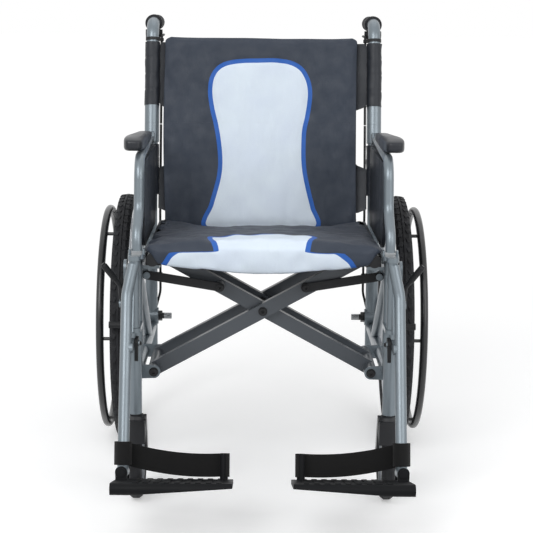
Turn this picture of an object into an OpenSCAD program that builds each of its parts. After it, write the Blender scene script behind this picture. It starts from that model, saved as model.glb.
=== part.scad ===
// Self-propelled folding wheelchair with a double cross-brace, a half-folding back,
// flip-up arms and swing-away leg rests. It faces -Y. Left and right are the user's.
// Places along Y are written from the rear axle, and ref_y moves the whole chair so
// that its middle is at Y = 0.

/* [Side frames] */
// Middle of the chair to the middle of a side frame
frame_x = 230; // [215:1:250]
// Diameter of the rear tube and of the canes
cane_d = 25.4; // [22:0.1:28]
// Diameter of the upper and lower side tubes
side_d = 22; // [19:0.5:24]
// Diameter of the front post
post_d = 25; // [22.5:0.5:27]
// Diameter of the diagonal strut
strut_d = 19; // [16:0.5:22]
// Height of the upper side tube
upper_z = 420; // [412:1:424]
// Height of the lower side tube and of the cross-brace pivots
lower_z = 232; // [226:1:240]
// Rear axle to the front post
post_y = 418; // [414:1:424]
// Bend of the lower side tube, at its middle line
lower_bend_r = 45; // [35:1:55]
// Lower end of the rear tube
cane_foot_z = 186; // [150:1:200]
// Top of the front post, under the head plate
post_top_z = 455; // [450:1:458]

/* [Back] */
// Height at which the rear tube starts to lean
lean_z = 470; // [450:1:480]
// Lean of the canes from the vertical
lean_a = 12; // [8:0.5:14]
// Bend of the rear tube into the lean, at its middle line
lean_bend_r = 130; // [90:5:160]
// Height of the plane where the back folds
split_z = 652; // [646:1:658]
// Height of the push handles
handle_z = 856; // [840:1:900]
// Bend of a cane into its push handle
handle_bend_r = 34; // [30:1:40]
// Length of a push handle behind its cane
handle_len = 150; // [135:1:160]
// Outer diameter of the hinge sockets
socket_d = 30; // [29:0.5:32]
// Length of a hinge socket on each side of the split
socket_len = 38; // [30:1:44]
// Middle of a cane to the hinge pin of the folding back
back_hinge_y = 22; // [21:0.5:24]

/* [Rear wheels] */
// Outer radius of the tyre, which is also the height of the axle
wheel_r = 254; // [250:1:258]
// Middle of the chair to the middle of the tyre
wheel_x = 279; // [276:1:282]
// Width of the tyre
tyre_w = 33; // [30:1:36]
// Height of the tyre above its rim
tyre_h = 31; // [28:1:34]
// Depth of the tread grooves
tread_depth = 2.5; // [1:0.5:3.5]
// Spokes in a rear wheel
spoke_count = 36; // [28:4:36]
// Diameter of a spoke
spoke_d = 2.4; // [2:0.2:3]
// Outer edge of the tyre to the push rim's middle line
push_in = 30.6; // [28:0.2:34]
// Middle of the chair to the push rim
push_x = 316; // [313:1:320]
// Diameter of the push rim's tube
push_d = 15.2; // [12:0.2:16]
// Standoffs of a push rim
standoff_count = 6; // [5:1:8]
// Diameter of the rear axle
axle_d = 12.7; // [10:0.1:14]
// Inner end of the rear axle, from the middle of the chair
axle_in_x = 188; // [184:1:192]

/* [Casters] */
// Radius of a caster wheel
caster_r = 74.5; // [70:0.5:76]
// Width of a caster tyre
caster_w = 27; // [24:1:28]
// Rear axle to the caster's swivel axis
swivel_y = 450; // [448:1:453]
// Trail of the caster wheel behind its swivel axis
trail = 38; // [34:1:42]
// Outer diameter of the caster stem housing
stem_d = 25; // [24:0.5:26]
// Top of the caster fork, under the stem housing
fork_top_z = 168; // [166:1:172]

/* [Cross-brace] */
// Middle of the chair to a lower pivot
pivot_x = 200; // [196:1:202]
// Height of the middle pivot
cross_z = 342; // [336:1:346]
// Height of a cross bar
bar_h = 26; // [22:1:28]
// Depth of a cross bar
bar_t = 16; // [14:0.5:17]
// Front face of the front cross bars, from the rear axle
bar_front_y = 368; // [366:1:370]
// Rear face of the rear cross bars, from the rear axle
bar_rear_y = 242; // [238:1:246]
// Diameter of the lower pivot sleeves
sleeve_d = 24; // [22:0.5:25]
// Diameter of the seat rails
rail_d = 22; // [20:0.5:22]
// Middle of the chair to a seat rail
rail_x = 198; // [195:0.5:198]
// Front end of a seat rail's tube, from the rear axle
rail_front_y = 442; // [436:1:448]
// Rear end of a seat rail's tube, from the rear axle
rail_rear_y = 46; // [40:1:60]

/* [Leg rests] */
// Rear axle to the hinge of a leg rest
hanger_y = 476; // [474:1:480]
// Middle of the chair to the hinge of a leg rest
hanger_x = 228; // [226:0.5:230]
// Diameter of the leg rest's tube
hanger_d = 20; // [19:0.5:21]
// Angle of the leg rest's tube from the vertical
hanger_a = 21.4; // [18:0.1:24]
// Height of the foot plate's hinge where it passes the tube
plate_z = 111; // [108:1:116]
// Length of a foot plate along the chair
plate_len = 150; // [130:1:156]
// Width of a foot plate
plate_w = 201; // [190:1:210]
// Thickness of a foot plate at its edge
plate_t = 20; // [16:1:24]
// Upward slope of a foot plate towards its front
plate_a = 15; // [10:0.5:18]
// Width of the heel strap's webbing
strap_w = 40; // [34:1:42]

/* [Arms] */
// Middle of the chair to the middle of an arm pad
pad_x = 233; // [231:0.5:236]
// Width of an arm pad
pad_w = 42; // [36:1:42]
// Height of an arm pad's top
pad_top_z = 664; // [662:1:668]
// Thickness of an arm pad
pad_t = 28; // [24:1:30]
// Front end of an arm pad, from the rear axle
pad_front_y = 400; // [380:1:410]
// Rear end of an arm pad, from the rear axle
pad_rear_y = 100; // [96:1:120]
// Diameter of the arm's tube
arm_d = 18; // [16:0.5:19]
// Thickness of a side guard
guard_t = 6; // [4:0.5:8]

/* [Seat and back cloth] */
// Height of the cushion's middle before it falls to the rear
seat_top_z = 497; // [490:1:504]
// Drop of the cushion's middle from its front to its rear
seat_fall = 37; // [25:1:39]
// Height of the cushion at the rails
seat_side_z = 476; // [472:1:480]
// Height of the cushion's lower front edge
seat_front_z = 431; // [426:1:436]
// Middle of a side frame to the edge of the seat cushion
seat_in = 24; // [21:1:30]
// Front face of the seat cushion, from the rear axle
seat_front_y = 455; // [450:1:462]
// Rear face of the seat cushion, from the rear axle
seat_rear_y = 60; // [50:1:80]
// Middle of a side frame to the edge of the back cushion
back_in = 26; // [24:1:30]
// Height of the back cushion's lower edge
back_low_z = 441; // [436:1:450]
// Push handles to the upper edge of the back cushion
back_drop = 29; // [24:1:40]
// Thickness of the back cushion
back_t = 24; // [18:1:28]

/* [Hidden] */
$fn = 64;

// Radial clearance of a pin that turns in a bore
run_gap = 0.05;
// Clearance between pieces that pass or rest close to each other
gap = 0.4;
// Length by which a cut runs past what it cuts
over = 2;
// Depth to which a welded piece enters what it is welded to
weld = 1;
// Height of the fine bead where a bend meets a straight tube
bead = 0.1;

// Places that follow from the sizes above
split_s = (split_z - lean_z) / cos(lean_a);
top_s = (handle_z - lean_z) / cos(lean_a);
cross_a = atan((cross_z - lower_z) / pivot_x);
rail_z = cross_z + rail_x * tan(cross_a);
bar_gap = 1.6;
bar_inner_y = bar_front_y - bar_t - bar_gap;
bar_back_y = bar_rear_y + bar_t + bar_gap;
plate_edge_r = plate_t / 2;
plate_mid_y = 655;
foot_hinge_y = 610;
plate_top_out = 13;
plate_rear = (foot_hinge_y - plate_mid_y) / cos(plate_a) + plate_len / 2;
front_reach = foot_hinge_y - (plate_rear - plate_len + plate_edge_r) * cos(plate_a)
    + (plate_top_out + plate_edge_r) * sin(plate_a) + plate_edge_r;
rear_reach = wheel_r;
push_r = wheel_r - push_in;
seat_w = 2 * (frame_x - seat_in);
back_w = 2 * (frame_x - back_in);
back_top_z = handle_z - back_drop;
ref_y = (front_reach - rear_reach) / 2;

// Colours as the chair shows them
frame_grey = "#9a9ea3";
dark_grey = "#4a4d51";
black = "#1b1c1e";
rubber = "#262729";
steel = "#c9ccd0";
slate = "#4a545e";

// Fasteners
pin_d = 10;
bolt_d = 8;
bolt_head_d = 15;
bolt_head_h = 6;
hex_share = 0.42;
hex_depth_share = 0.6;

function unit(v) = v / norm(v);
function ray(a) = [cos(a), sin(a)];
function cane_at(s) = [frame_x, s * sin(lean_a), lean_z + s * cos(lean_a)];
function behind_cane(s, out) = cane_at(s) + out * [0, cos(lean_a), -sin(lean_a)];

// A straight round bar from a to b
module rod(a, b, d) {
    v = b - a;
    translate(a)
        rotate([0, acos(v.z / norm(v)), atan2(v.y, v.x)])
            cylinder(d = d, h = norm(v));
}

// A round bend at corner p, from direction u to direction v
module bend(p, u, v, d, r) {
    turn = acos(u * v);
    n = unit(cross(u, v));
    out = -cross(n, u);
    centre = p - u * r * tan(turn / 2) - out * r;
    tilt = acos(n.z);
    spin = atan2(n.y, n.x);
    x_dir = [cos(tilt) * cos(spin), cos(tilt) * sin(spin), -sin(tilt)];
    y_dir = [-sin(spin), cos(spin), 0];
    translate(centre)
        rotate([0, tilt, spin])
            rotate([0, 0, atan2(out * y_dir, out * x_dir)])
                rotate_extrude(angle = turn) translate([r, 0]) circle(d = d);
}

// A round tube along points, bent at each inner one
module bent(p, d, r) {
    last = len(p) - 1;
    function dir(i) = unit(p[i + 1] - p[i]);
    function cut(i) = i == 0 || i == last ? 0 : r * tan(acos(dir(i - 1) * dir(i)) / 2);
    for (i = [0:last - 1])
        rod(p[i] + dir(i) * cut(i), p[i + 1] - dir(i) * cut(i + 1), d);
    if (last > 1)
        for (i = [1:last - 1]) {
            bend(p[i], dir(i - 1), dir(i), d, r);
            for (e = [[-1, i - 1], [1, i]]) {
                seam = p[i] + e[0] * dir(e[1]) * cut(i);
                rod(seam - dir(e[1]) * weld / 2, seam + dir(e[1]) * weld / 2, d + 2 * bead);
            }
        }
}

// Two circles and the straight sides that touch both
module link_2d(a, ra, b, rb) {
    v = b - a;
    k = atan2(v.y, v.x);
    w = acos((ra - rb) / norm(v));
    translate(a) circle(r = ra);
    translate(b) circle(r = rb);
    polygon([
        a + (ra - bead) * ray(k + w), b + (rb - bead) * ray(k + w),
        b + (rb - bead) * ray(k - w), a + (ra - bead) * ray(k - w)
    ]);
}

// A plate across X whose outline is given as (Y, Z)
module plate_yz(x, t) {
    translate([x, 0, 0]) rotate([90, 0, 90]) linear_extrude(t) children();
}

// A plate across Y whose outline is given as (X, Z)
module plate_xz(y, t) {
    translate([0, y + t, 0]) rotate([90, 0, 0]) linear_extrude(t) children();
}

// The user's left side as drawn, and the right side as its mirror image
module on_side(left) {
    translate([0, ref_y, 0]) if (left) children(); else mirror([1, 0, 0]) children();
}

module middle() {
    translate([0, ref_y, 0]) children();
}

// A flange head with a hex recess; it stands at the origin and rises along Z
module flange_head(d, h) {
    difference() {
        union() {
            cylinder(d = d, h = h * hex_depth_share / 2);
            cylinder(d = d * (1 - hex_share / 2), h = h);
        }
        translate([0, 0, h * (1 - hex_depth_share)])
            cylinder(d = d * hex_share, h = h, $fn = 6);
    }
}

// Side frame: tubes, castings, brackets and the fixed halves of its hinges
strut_top_y = 350;
strut_low_y = 120;
web_t = 8;
housing_low_z = fork_top_z + 2;
housing_top_z = 297;
head_t = 8;
head_x = (frame_x + hanger_x) / 2;
head_r = 13;
pin_seat_r = 11;
hinge_low_z = 334;
bracket_t = 8;
pivot_rod_front_y = 392;
pivot_rod_rear_y = 218;
pivot_bracket_t = 6;
sleeve_front_y = 385.4;
sleeve_rear_y = 224.6;
saddle_y = [404, 112];
saddle_len = 30;
saddle_plate_t = 6;
saddle_plate_z = upper_z + side_d / 2 - weld;
arm_pivot_z = 630;
arm_pivot_out = 40;
arm_ear_t = 4;
arm_knuckle_w = 11;
arm_pivot_r = 10;
arm_seat_y = 455;
arm_foot_x = 225;
arm_foot_d = 20;
arm_foot_z = post_top_z + head_t + gap;
ear_t = 4.6;
knuckle_w = 9.8;
knuckle_r = 6;
hinge_pin_d = 5;
receiver_r = 17;
brake_y = 352;
brake_z = 352;
brake_boss_r = 9;
stem_shaft_d = 16;
stem_bore_d = stem_shaft_d + 2 * run_gap;

arm_pivot = [pad_x, cane_at((arm_pivot_z - lean_z) / cos(lean_a)).y - arm_pivot_out, arm_pivot_z];

// Outline of a hinge ear behind the socket, s along the cane from the split
module back_ear_2d(low) {
    f = low ? -1 : 1;
    translate([back_hinge_y, 0]) circle(r = knuckle_r);
    polygon([
        [socket_d / 3, f * gap],
        [back_hinge_y, f * gap],
        back_hinge_y * [1, 0] + knuckle_r * [cos(30), f * sin(30)],
        [socket_d / 3, f * socket_len * 0.75]
    ]);
}

// Puts a plate with outline (out, s) on the hinge of the folding back
module at_back_hinge(x, t) {
    translate(cane_at(split_s) - [frame_x, 0, 0] + [x, 0, 0])
        rotate([-lean_a, 0, 0])
            rotate([90, 0, 90]) linear_extrude(t) children();
}

module side_frame() {
    color(frame_grey) difference() {
        union() {
            bent([[frame_x, 0, cane_foot_z], [frame_x, 0, lean_z], cane_at(split_s)],
                cane_d, lean_bend_r);
            rod(cane_at(split_s - socket_len), cane_at(split_s), socket_d);
            for (m = [-1, 1])
                at_back_hinge(frame_x + m * (knuckle_w / 2 + gap + ear_t / 2) - ear_t / 2, ear_t)
                    back_ear_2d(true);
            // Side tubes, post, strut
            rod([frame_x, 0, upper_z], [frame_x, -post_y, upper_z], side_d);
            bent([[frame_x, 0, lower_z], [frame_x, -post_y, lower_z], [frame_x, -post_y, post_top_z]],
                side_d, lower_bend_r);
            rod([frame_x, -post_y, lower_z + lower_bend_r], [frame_x, -post_y, post_top_z], post_d);
            rod([frame_x, -strut_top_y, upper_z - side_d / 2], [frame_x, -strut_low_y, lower_z + side_d / 2],
                strut_d);
            // Caster stem housing and its gusset
            rod([frame_x, -swivel_y, housing_low_z], [frame_x, -swivel_y, housing_top_z], stem_d);
            plate_yz(frame_x - web_t / 2, web_t)
                polygon([
                    [-swivel_y, housing_low_z + web_t * 2],
                    [-swivel_y, housing_top_z - web_t],
                    [-post_y, housing_top_z - web_t],
                    [-post_y + lower_bend_r, lower_z],
                    [-post_y + lower_bend_r, lower_z - side_d / 2]
                ]);
            // Head plate over the post, with the seat of the arm's foot
            translate([0, 0, post_top_z])
                linear_extrude(head_t) {
                    link_2d([frame_x, -post_y], head_r, [hanger_x, -hanger_y], pin_seat_r);
                    translate([arm_foot_x, -arm_seat_y])
                        circle(r = arm_foot_d / 2 + gap + seat_wall);
                }
            arm_seat();
            // Lower bracket of the leg rest's hinge, and its pin
            translate([0, 0, hinge_low_z - bracket_t])
                linear_extrude(bracket_t)
                    link_2d([frame_x, -post_y], head_r, [hanger_x, -hanger_y], pin_seat_r);
            translate([hanger_x, -hanger_y, hinge_low_z - bracket_t])
                cylinder(d = pin_d, h = post_top_z + head_t - hinge_low_z + bracket_t);
            // Brackets of the lower pivot
            for (y = [-pivot_rod_front_y, -pivot_rod_rear_y - pivot_bracket_t])
                plate_xz(y, pivot_bracket_t)
                    link_2d([pivot_x, lower_z], sleeve_d / 2, [frame_x, lower_z], side_d / 2 + web_t / 4);
            // Plates that carry the rail saddles
            for (y = saddle_y)
                translate([rail_x - side_d / 2, -y - saddle_len / 2, saddle_plate_z])
                    cube([frame_x - rail_x + side_d / 2, saddle_len, saddle_plate_t]);
            // Receiver of the rear axle
            translate([frame_x - cane_d / 2 - web_t / 4, 0, wheel_r])
                rotate([0, 90, 0]) cylinder(r = receiver_r, h = cane_d + web_t / 2);
            // Ears of the arm's pivot
            for (m = [-1, 1]) arm_ear(m);
            link_bracket();
            brake_clamp();
        }
        // Bores
        translate([0, 0, wheel_r]) rotate([0, 90, 0])
            cylinder(d = axle_d + 2 * run_gap, h = frame_x + cane_d);
        translate([pivot_x, -pivot_rod_rear_y + over, lower_z]) rotate([90, 0, 0])
            cylinder(d = pin_d + 2 * run_gap, h = pivot_rod_front_y - pivot_rod_rear_y + 2 * over);
        translate(behind_cane(split_s, back_hinge_y) - [knuckle_w * 1.5, 0, 0]) rotate([0, 90, 0])
            cylinder(d = hinge_pin_d + 2 * run_gap, h = 3 * knuckle_w);
        translate([frame_x, -swivel_y, housing_low_z - over])
            cylinder(d = stem_bore_d, h = housing_top_z - housing_low_z + 2 * over);
    }
}

// Open-fronted seat that holds the arm's foot sideways
seat_wall = 3.5;
seat_wall_h = 9;
module arm_seat() {
    for (m = [-1, 1])
        translate([
            arm_foot_x + m * (arm_foot_d / 2 + gap + seat_wall / 2) - seat_wall / 2,
            -arm_seat_y - arm_foot_d / 4, post_top_z + head_t - weld
        ])
            cube([seat_wall, arm_foot_d * 0.7, seat_wall_h + weld]);
}

module arm_ear(m) {
    plate_yz(pad_x + m * (arm_knuckle_w / 2 + gap + arm_ear_t / 2) - arm_ear_t / 2, arm_ear_t)
        link_2d([arm_pivot.y, arm_pivot.z], arm_pivot_r,
            [arm_pivot.y + arm_pivot_out, arm_pivot_z - arm_pivot_r], arm_pivot_r);
    if (m > 0)
        translate([pad_x - arm_knuckle_w / 2 - gap - arm_ear_t, arm_pivot.y, arm_pivot_z])
            rotate([0, 90, 0])
                cylinder(d = bolt_d, h = arm_knuckle_w + 2 * gap + 2 * arm_ear_t);
}

// Guide links: one at each side, from the frame to the cross bar that slopes past it
link_x = 213;
link_z = 410;
link_t = 6;
link_h = 16;
link_front_y = 377;
link_bar_x = 79;
link_bar_rise = 2.6;
link_bar_z = cross_z + link_bar_x * tan(cross_a) + link_bar_rise;
link_pin_d = 8;
link_plate_t = 5;

module link_bracket() {
    plate_xz(-link_front_y + link_t + gap, link_plate_t)
        link_2d([link_x, link_z], link_h / 2, [frame_x, upper_z], side_d / 2);
    translate([link_x, -link_front_y + link_t + gap + link_plate_t, link_z])
        rotate([90, 0, 0]) {
            cylinder(d = link_pin_d, h = link_t + 2 * gap + link_plate_t);
            translate([0, 0, link_t + 2 * gap + link_plate_t])
                cylinder(d = link_pin_d * 1.6, h = link_t * 0.6);
        }
}

module guide_link() {
    v = [link_x - link_bar_x, link_z - link_bar_z];
    color(black) difference() {
        union() {
            plate_xz(-link_front_y, link_t)
                link_2d([link_bar_x, link_bar_z], link_h / 2, [link_x, link_z], link_h / 2);
            translate([link_bar_x, -link_front_y + weld, link_bar_z]) rotate([90, 0, 0])
                flange_head(bolt_head_d, bolt_head_h + weld);
        }
        translate([link_x, -link_front_y + link_t + over, link_z]) rotate([90, 0, 0])
            cylinder(d = link_pin_d + 2 * run_gap, h = link_t + 2 * over);
    }
}

// Parking brake clamp on the upper side tube, with the brake's pivot pin
clamp_w = 22;
clamp_wall = 4;
brake_x = 262;
brake_plate_t = 5;
module brake_clamp() {
    rod([frame_x, -brake_y - clamp_w / 2, upper_z], [frame_x, -brake_y + clamp_w / 2, upper_z],
        side_d + 2 * clamp_wall);
    plate_yz(brake_x - brake_plate_t - gap - brake_plate_t, brake_plate_t)
        link_2d([-brake_y, upper_z], side_d / 2 + clamp_wall, [-brake_y, brake_z], brake_boss_r);
    translate([frame_x, -brake_y - clamp_w / 2, upper_z - side_d / 2 - clamp_wall + weld])
        cube([brake_x - 2 * brake_plate_t - gap - frame_x + weld, clamp_w, side_d / 2]);
    translate([brake_x - 2 * brake_plate_t - gap, -brake_y, brake_z]) rotate([0, 90, 0])
        cylinder(d = bolt_d, h = 2 * brake_plate_t + 2 * gap);
    translate([brake_x + gap, -brake_y, brake_z]) rotate([0, 90, 0])
        cylinder(d = bolt_head_d, h = bolt_head_h * 0.6);
}

// Black plastic on a side frame: rail saddles, the stem's cap, the rear tube's end cap
saddle_wall = 3;
saddle_rise = 6;
cap_t = 6;
module frame_plastics() {
    half = rail_d / 2 + gap + saddle_wall;
    low = saddle_plate_z + saddle_plate_t;
    color(black) {
        for (y = saddle_y)
            difference() {
                translate([rail_x - half, -y - saddle_len / 2, low])
                    cube([2 * half, saddle_len, rail_z + saddle_rise - low]);
                translate([rail_x, -y + saddle_len, rail_z]) rotate([90, 0, 0])
                    cylinder(r = rail_d / 2 + gap, h = 2 * saddle_len);
                translate([rail_x - rail_d / 2 - gap, -y - saddle_len, rail_z])
                    cube([rail_d + 2 * gap, 2 * saddle_len, rail_d]);
            }
        translate([frame_x, -swivel_y, housing_top_z]) {
            cylinder(d = stem_d, h = cap_t * 0.7);
            cylinder(d = stem_d * 0.8, h = cap_t);
        }
        translate([frame_x, 0, cane_foot_z - cap_t]) {
            cylinder(d = cane_d, h = cap_t);
            cylinder(d = cane_d * 0.8, h = cap_t);
        }
    }
}

// Rear axle: a threaded bolt through the frame, with its nut inside
nut_h = 8;
module rear_axle() {
    color(steel) translate([0, 0, wheel_r]) rotate([0, 90, 0]) {
        translate([0, 0, axle_in_x]) cylinder(d = axle_d, h = axle_out_x - axle_in_x);
        translate([0, 0, frame_x - cane_d / 2 - web_t / 4 - nut_h])
            cylinder(d = axle_d * 1.7, h = nut_h, $fn = 6);
        translate([0, 0, axle_out_x]) cylinder(d = axle_d * 1.5, h = nut_h * 0.8);
    }
}

// Lower pivot rod with its flange head in front and its nut behind
pivot_head_d = 17;
pivot_head_h = 8;
module pivot_rod() {
    color(steel) translate([pivot_x, -pivot_rod_rear_y, lower_z]) {
        rotate([90, 0, 0]) cylinder(d = pin_d, h = pivot_rod_front_y - pivot_rod_rear_y);
        rotate([-90, 0, 0]) cylinder(d = pivot_head_d, h = pivot_head_h * 0.8, $fn = 6);
        translate([0, pivot_rod_rear_y - pivot_rod_front_y, 0]) rotate([90, 0, 0])
            flange_head(pivot_head_d, pivot_head_h);
    }
}

// Cross-brace: the bars that rise to the left carry the left rail, and stand outside
// the bars that rise to the right
sleeve_bore_d = pin_d + 2 * run_gap;
cross_pin_d = 10;
boss_r = 9;
bar_len = pivot_x / cos(cross_a) + rail_x / cos(cross_a);

// A bar from the right pivot sleeve up to the left rail
module cross_bar(y) {
    translate([-pivot_x, y, lower_z]) rotate([0, -cross_a, 0])
        translate([0, 0, -bar_h / 2]) cube([bar_len, bar_t, bar_h]);
}

module cross_sleeve_and_rail() {
    translate([-pivot_x, -sleeve_rear_y, lower_z]) rotate([90, 0, 0])
        cylinder(d = sleeve_d, h = sleeve_front_y - sleeve_rear_y);
    translate([rail_x, -rail_rear_y, rail_z]) rotate([90, 0, 0])
        cylinder(d = rail_d, h = rail_front_y - rail_rear_y);
}

module cross_sleeve_bore() {
    translate([-pivot_x, -sleeve_rear_y + over, lower_z]) rotate([90, 0, 0])
        cylinder(d = sleeve_bore_d, h = sleeve_front_y - sleeve_rear_y + 2 * over);
}

// The outer cross, with the middle pivot's pins in its bars
module cross_outer() {
    color(dark_grey) difference() {
        union() {
            cross_bar(-bar_front_y);
            cross_bar(-bar_rear_y - bar_t);
            cross_sleeve_and_rail();
        }
        cross_sleeve_bore();
    }
}

// The inner cross, mirrored, so its rail is on the right
module cross_inner() {
    color(dark_grey) mirror([1, 0, 0]) difference() {
        union() {
            cross_bar(-bar_inner_y);
            cross_bar(-bar_back_y - bar_t);
            cross_sleeve_and_rail();
            // Spacer that brings the guide link's end level with the outer bars
            translate([link_bar_x, -bar_inner_y, link_bar_z]) rotate([90, 0, 0])
                cylinder(r = boss_r, h = bar_front_y - bar_inner_y + link_boss_h);
        }
        cross_sleeve_bore();
        for (y = [-bar_inner_y, -bar_back_y - bar_t])
            translate([0, y + bar_t + over, cross_z]) rotate([90, 0, 0])
                cylinder(d = cross_pin_d + 2 * run_gap, h = bar_t + 2 * over);
    }
}

link_boss_h = link_front_y - link_t - bar_front_y - gap;

// Bolts of the middle pivots and the boss of the left guide link, on the outer cross
module cross_bolts() {
    color(black) {
        translate([0, -bar_front_y, cross_z]) rotate([90, 0, 0])
            flange_head(bolt_head_d * 1.1, bolt_head_h);
        translate([0, -bar_inner_y + bar_t + gap, cross_z]) {
            rotate([90, 0, 0]) cylinder(d = cross_pin_d, h = bar_t + bar_gap + gap);
            rotate([-90, 0, 0]) cylinder(d = bolt_head_d, h = bolt_head_h, $fn = 6);
        }
        translate([0, -bar_rear_y, cross_z]) rotate([-90, 0, 0])
            cylinder(d = bolt_head_d, h = bolt_head_h, $fn = 6);
        translate([0, -bar_rear_y - bar_t, cross_z]) rotate([90, 0, 0])
            cylinder(d = cross_pin_d, h = bar_t + bar_gap + gap);
        translate([0, -bar_back_y - bar_t - gap, cross_z]) rotate([90, 0, 0])
            flange_head(bolt_head_d * 1.1, bolt_head_h);
        translate([link_bar_x, -bar_front_y, link_bar_z]) rotate([90, 0, 0])
            cylinder(r = boss_r, h = link_boss_h);
    }
}

// End caps of a seat rail, one at each end
module rail_caps() {
    color(black) for (y = [-rail_rear_y, -rail_front_y - cap_t * 1.3])
        translate([rail_x, y + cap_t * 1.3, rail_z]) rotate([90, 0, 0])
            cylinder(d = rail_d + 1.6 * weld, h = cap_t * 1.3);
}

// Rear wheel about its axle, drawn with the axle along Z and the outside at +Z
rim_w = 24;
rim_r = wheel_r - tyre_h;
rim_depth = 16;
hub_r = 22;
hub_w = 46;
hub_flange_r = 32;
hub_flange_t = 3;
drum_r = 42;
drum_t = 14;
axle_out_x = wheel_x + hub_w / 2 + gap;

module at_wheel() {
    translate([wheel_x, 0, wheel_r]) rotate([0, 90, 0]) children();
}

module tyre_ring(r, w, h, ridge) {
    rotate_extrude()
        polygon([
            [r - h, -w * 0.3], [r - h * 0.72, -w * 0.46], [r - h * 0.45, -w * 0.5],
            [r - h * 0.2, -w * 0.45], [r - h * 0.06, -w * 0.3], [r - ridge, -w * 0.09],
            [r, -w * 0.06], [r, w * 0.06], [r - ridge, w * 0.09],
            [r - h * 0.06, w * 0.3], [r - h * 0.2, w * 0.45], [r - h * 0.45, w * 0.5],
            [r - h * 0.72, w * 0.46], [r - h, w * 0.3]
        ]);
}

module rear_tyre() {
    color(rubber) at_wheel() tyre_ring(wheel_r, tyre_w, tyre_h, tread_depth);
}

// Spoked wheel: box-section rim, crossed spokes and the hub with its brake drum
module rear_rim() {
    color(steel) at_wheel() difference() {
        union() {
            rotate_extrude()
                polygon([
                    [rim_r - rim_depth, -rim_w * 0.2], [rim_r - rim_depth * 0.5, -rim_w / 2],
                    [rim_r, -rim_w / 2], [rim_r, rim_w / 2],
                    [rim_r - rim_depth * 0.5, rim_w / 2], [rim_r - rim_depth, rim_w * 0.2]
                ]);
            cylinder(r = hub_r, h = hub_w, center = true);
            for (m = [-1, 1])
                translate([0, 0, m * (hub_w / 2 - hub_flange_t * 2) - hub_flange_t / 2])
                    cylinder(r = hub_flange_r, h = hub_flange_t);
            translate([0, 0, -hub_w / 2]) cylinder(r = drum_r, h = drum_t);
            for (i = [0:spoke_count - 1]) {
                side = i % 2 == 0 ? 1 : -1;
                a = 360 / spoke_count * i;
                lean = i % 4 < 2 ? 70 : -70;
                rod(
                    concat((hub_flange_r - spoke_d) * ray(a + lean), side * (hub_w / 2 - hub_flange_t * 2)),
                    concat((rim_r - rim_depth / 2) * ray(a), side * rim_w * 0.08), spoke_d
                );
            }
        }
        cylinder(d = axle_d + 2 * run_gap, h = hub_w + 2 * over, center = true);
    }
}

// Push rim with its standoffs
module push_rim() {
    color(black) at_wheel() {
        translate([0, 0, push_x - wheel_x])
            rotate_extrude() translate([push_r, 0]) circle(d = push_d);
        for (i = [0:standoff_count - 1])
            rotate([0, 0, 360 / standoff_count * i + 30])
                translate([rim_r - rim_depth / 4, 0, rim_w / 2])
                    cylinder(d = push_d * 0.45, h = push_x - wheel_x - rim_w / 2);
    }
}

// Caster fork: stem, domed crown and two legs that sweep back to the axle
fork_leg_t = 5;
fork_gap = 2;
crown_r = 20.5;
crown_h = 12;
hood_h = 46;
caster_axle_d = 8;
stem_top_gap = 3;
module caster_fork() {
    color(dark_grey) translate([frame_x, -swivel_y, 0]) {
            translate([0, 0, fork_top_z]) rotate_extrude()
                polygon([
                    [0, -crown_h], [crown_r * 0.9, -crown_h], [crown_r, -crown_h * 0.8],
                    [crown_r, -crown_h * 0.5], [crown_r * 0.8, -crown_h * 0.12], [crown_r * 0.68, 0],
                    [0, 0]
                ]);
            // Hood in front of the wheel
            difference() {
                translate([-crown_r * 0.94, -crown_r * 1.2, fork_top_z - crown_h * 0.6 - hood_h])
                    cube([crown_r * 1.88, crown_r * 1.5, hood_h]);
                translate([-crown_r * 2, trail, caster_r]) rotate([0, 90, 0])
                    cylinder(r = caster_r + fork_gap, h = crown_r * 4);
            }
            cylinder_at(fork_top_z, stem_shaft_d * 1.25, housing_low_z - fork_top_z - gap);
            cylinder_at(fork_top_z, stem_shaft_d, housing_top_z - stem_top_gap - fork_top_z);
            for (m = [-1, 1])
                plate_yz(m * (caster_w / 2 + fork_gap + fork_leg_t / 2) - fork_leg_t / 2, fork_leg_t)
                    link_2d([0, fork_top_z - crown_h * 0.8], crown_h * 0.8, [trail, caster_r], crown_h * 0.9);
            translate([-caster_w / 2 - fork_gap - fork_leg_t, trail, caster_r]) rotate([0, 90, 0])
                cylinder(d = caster_axle_d, h = caster_w + 2 * fork_gap + 2 * fork_leg_t);
            for (m = [-1, 1])
                translate([m * (caster_w / 2 + fork_gap + fork_leg_t), trail, caster_r])
                    rotate([0, m * 90, 0])
                        cylinder(d = caster_axle_d * 1.6, h = fork_leg_t * 0.7, $fn = 6);
    }
}

module cylinder_at(z, d, h) {
    translate([0, 0, z]) cylinder(d = d, h = h);
}

module at_caster() {
    translate([frame_x, -swivel_y + trail, caster_r]) rotate([0, 90, 0]) children();
}

caster_tyre_h = 22;
module caster_tyre() {
    color(rubber) at_caster() rotate_extrude()
        polygon([
            [caster_r - caster_tyre_h, -caster_w * 0.4], [caster_r - caster_tyre_h * 0.5, -caster_w / 2],
            [caster_r - caster_tyre_h * 0.2, -caster_w * 0.42], [caster_r, -caster_w * 0.2],
            [caster_r, caster_w * 0.2], [caster_r - caster_tyre_h * 0.2, caster_w * 0.42],
            [caster_r - caster_tyre_h * 0.5, caster_w / 2], [caster_r - caster_tyre_h, caster_w * 0.4]
        ]);
}

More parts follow.
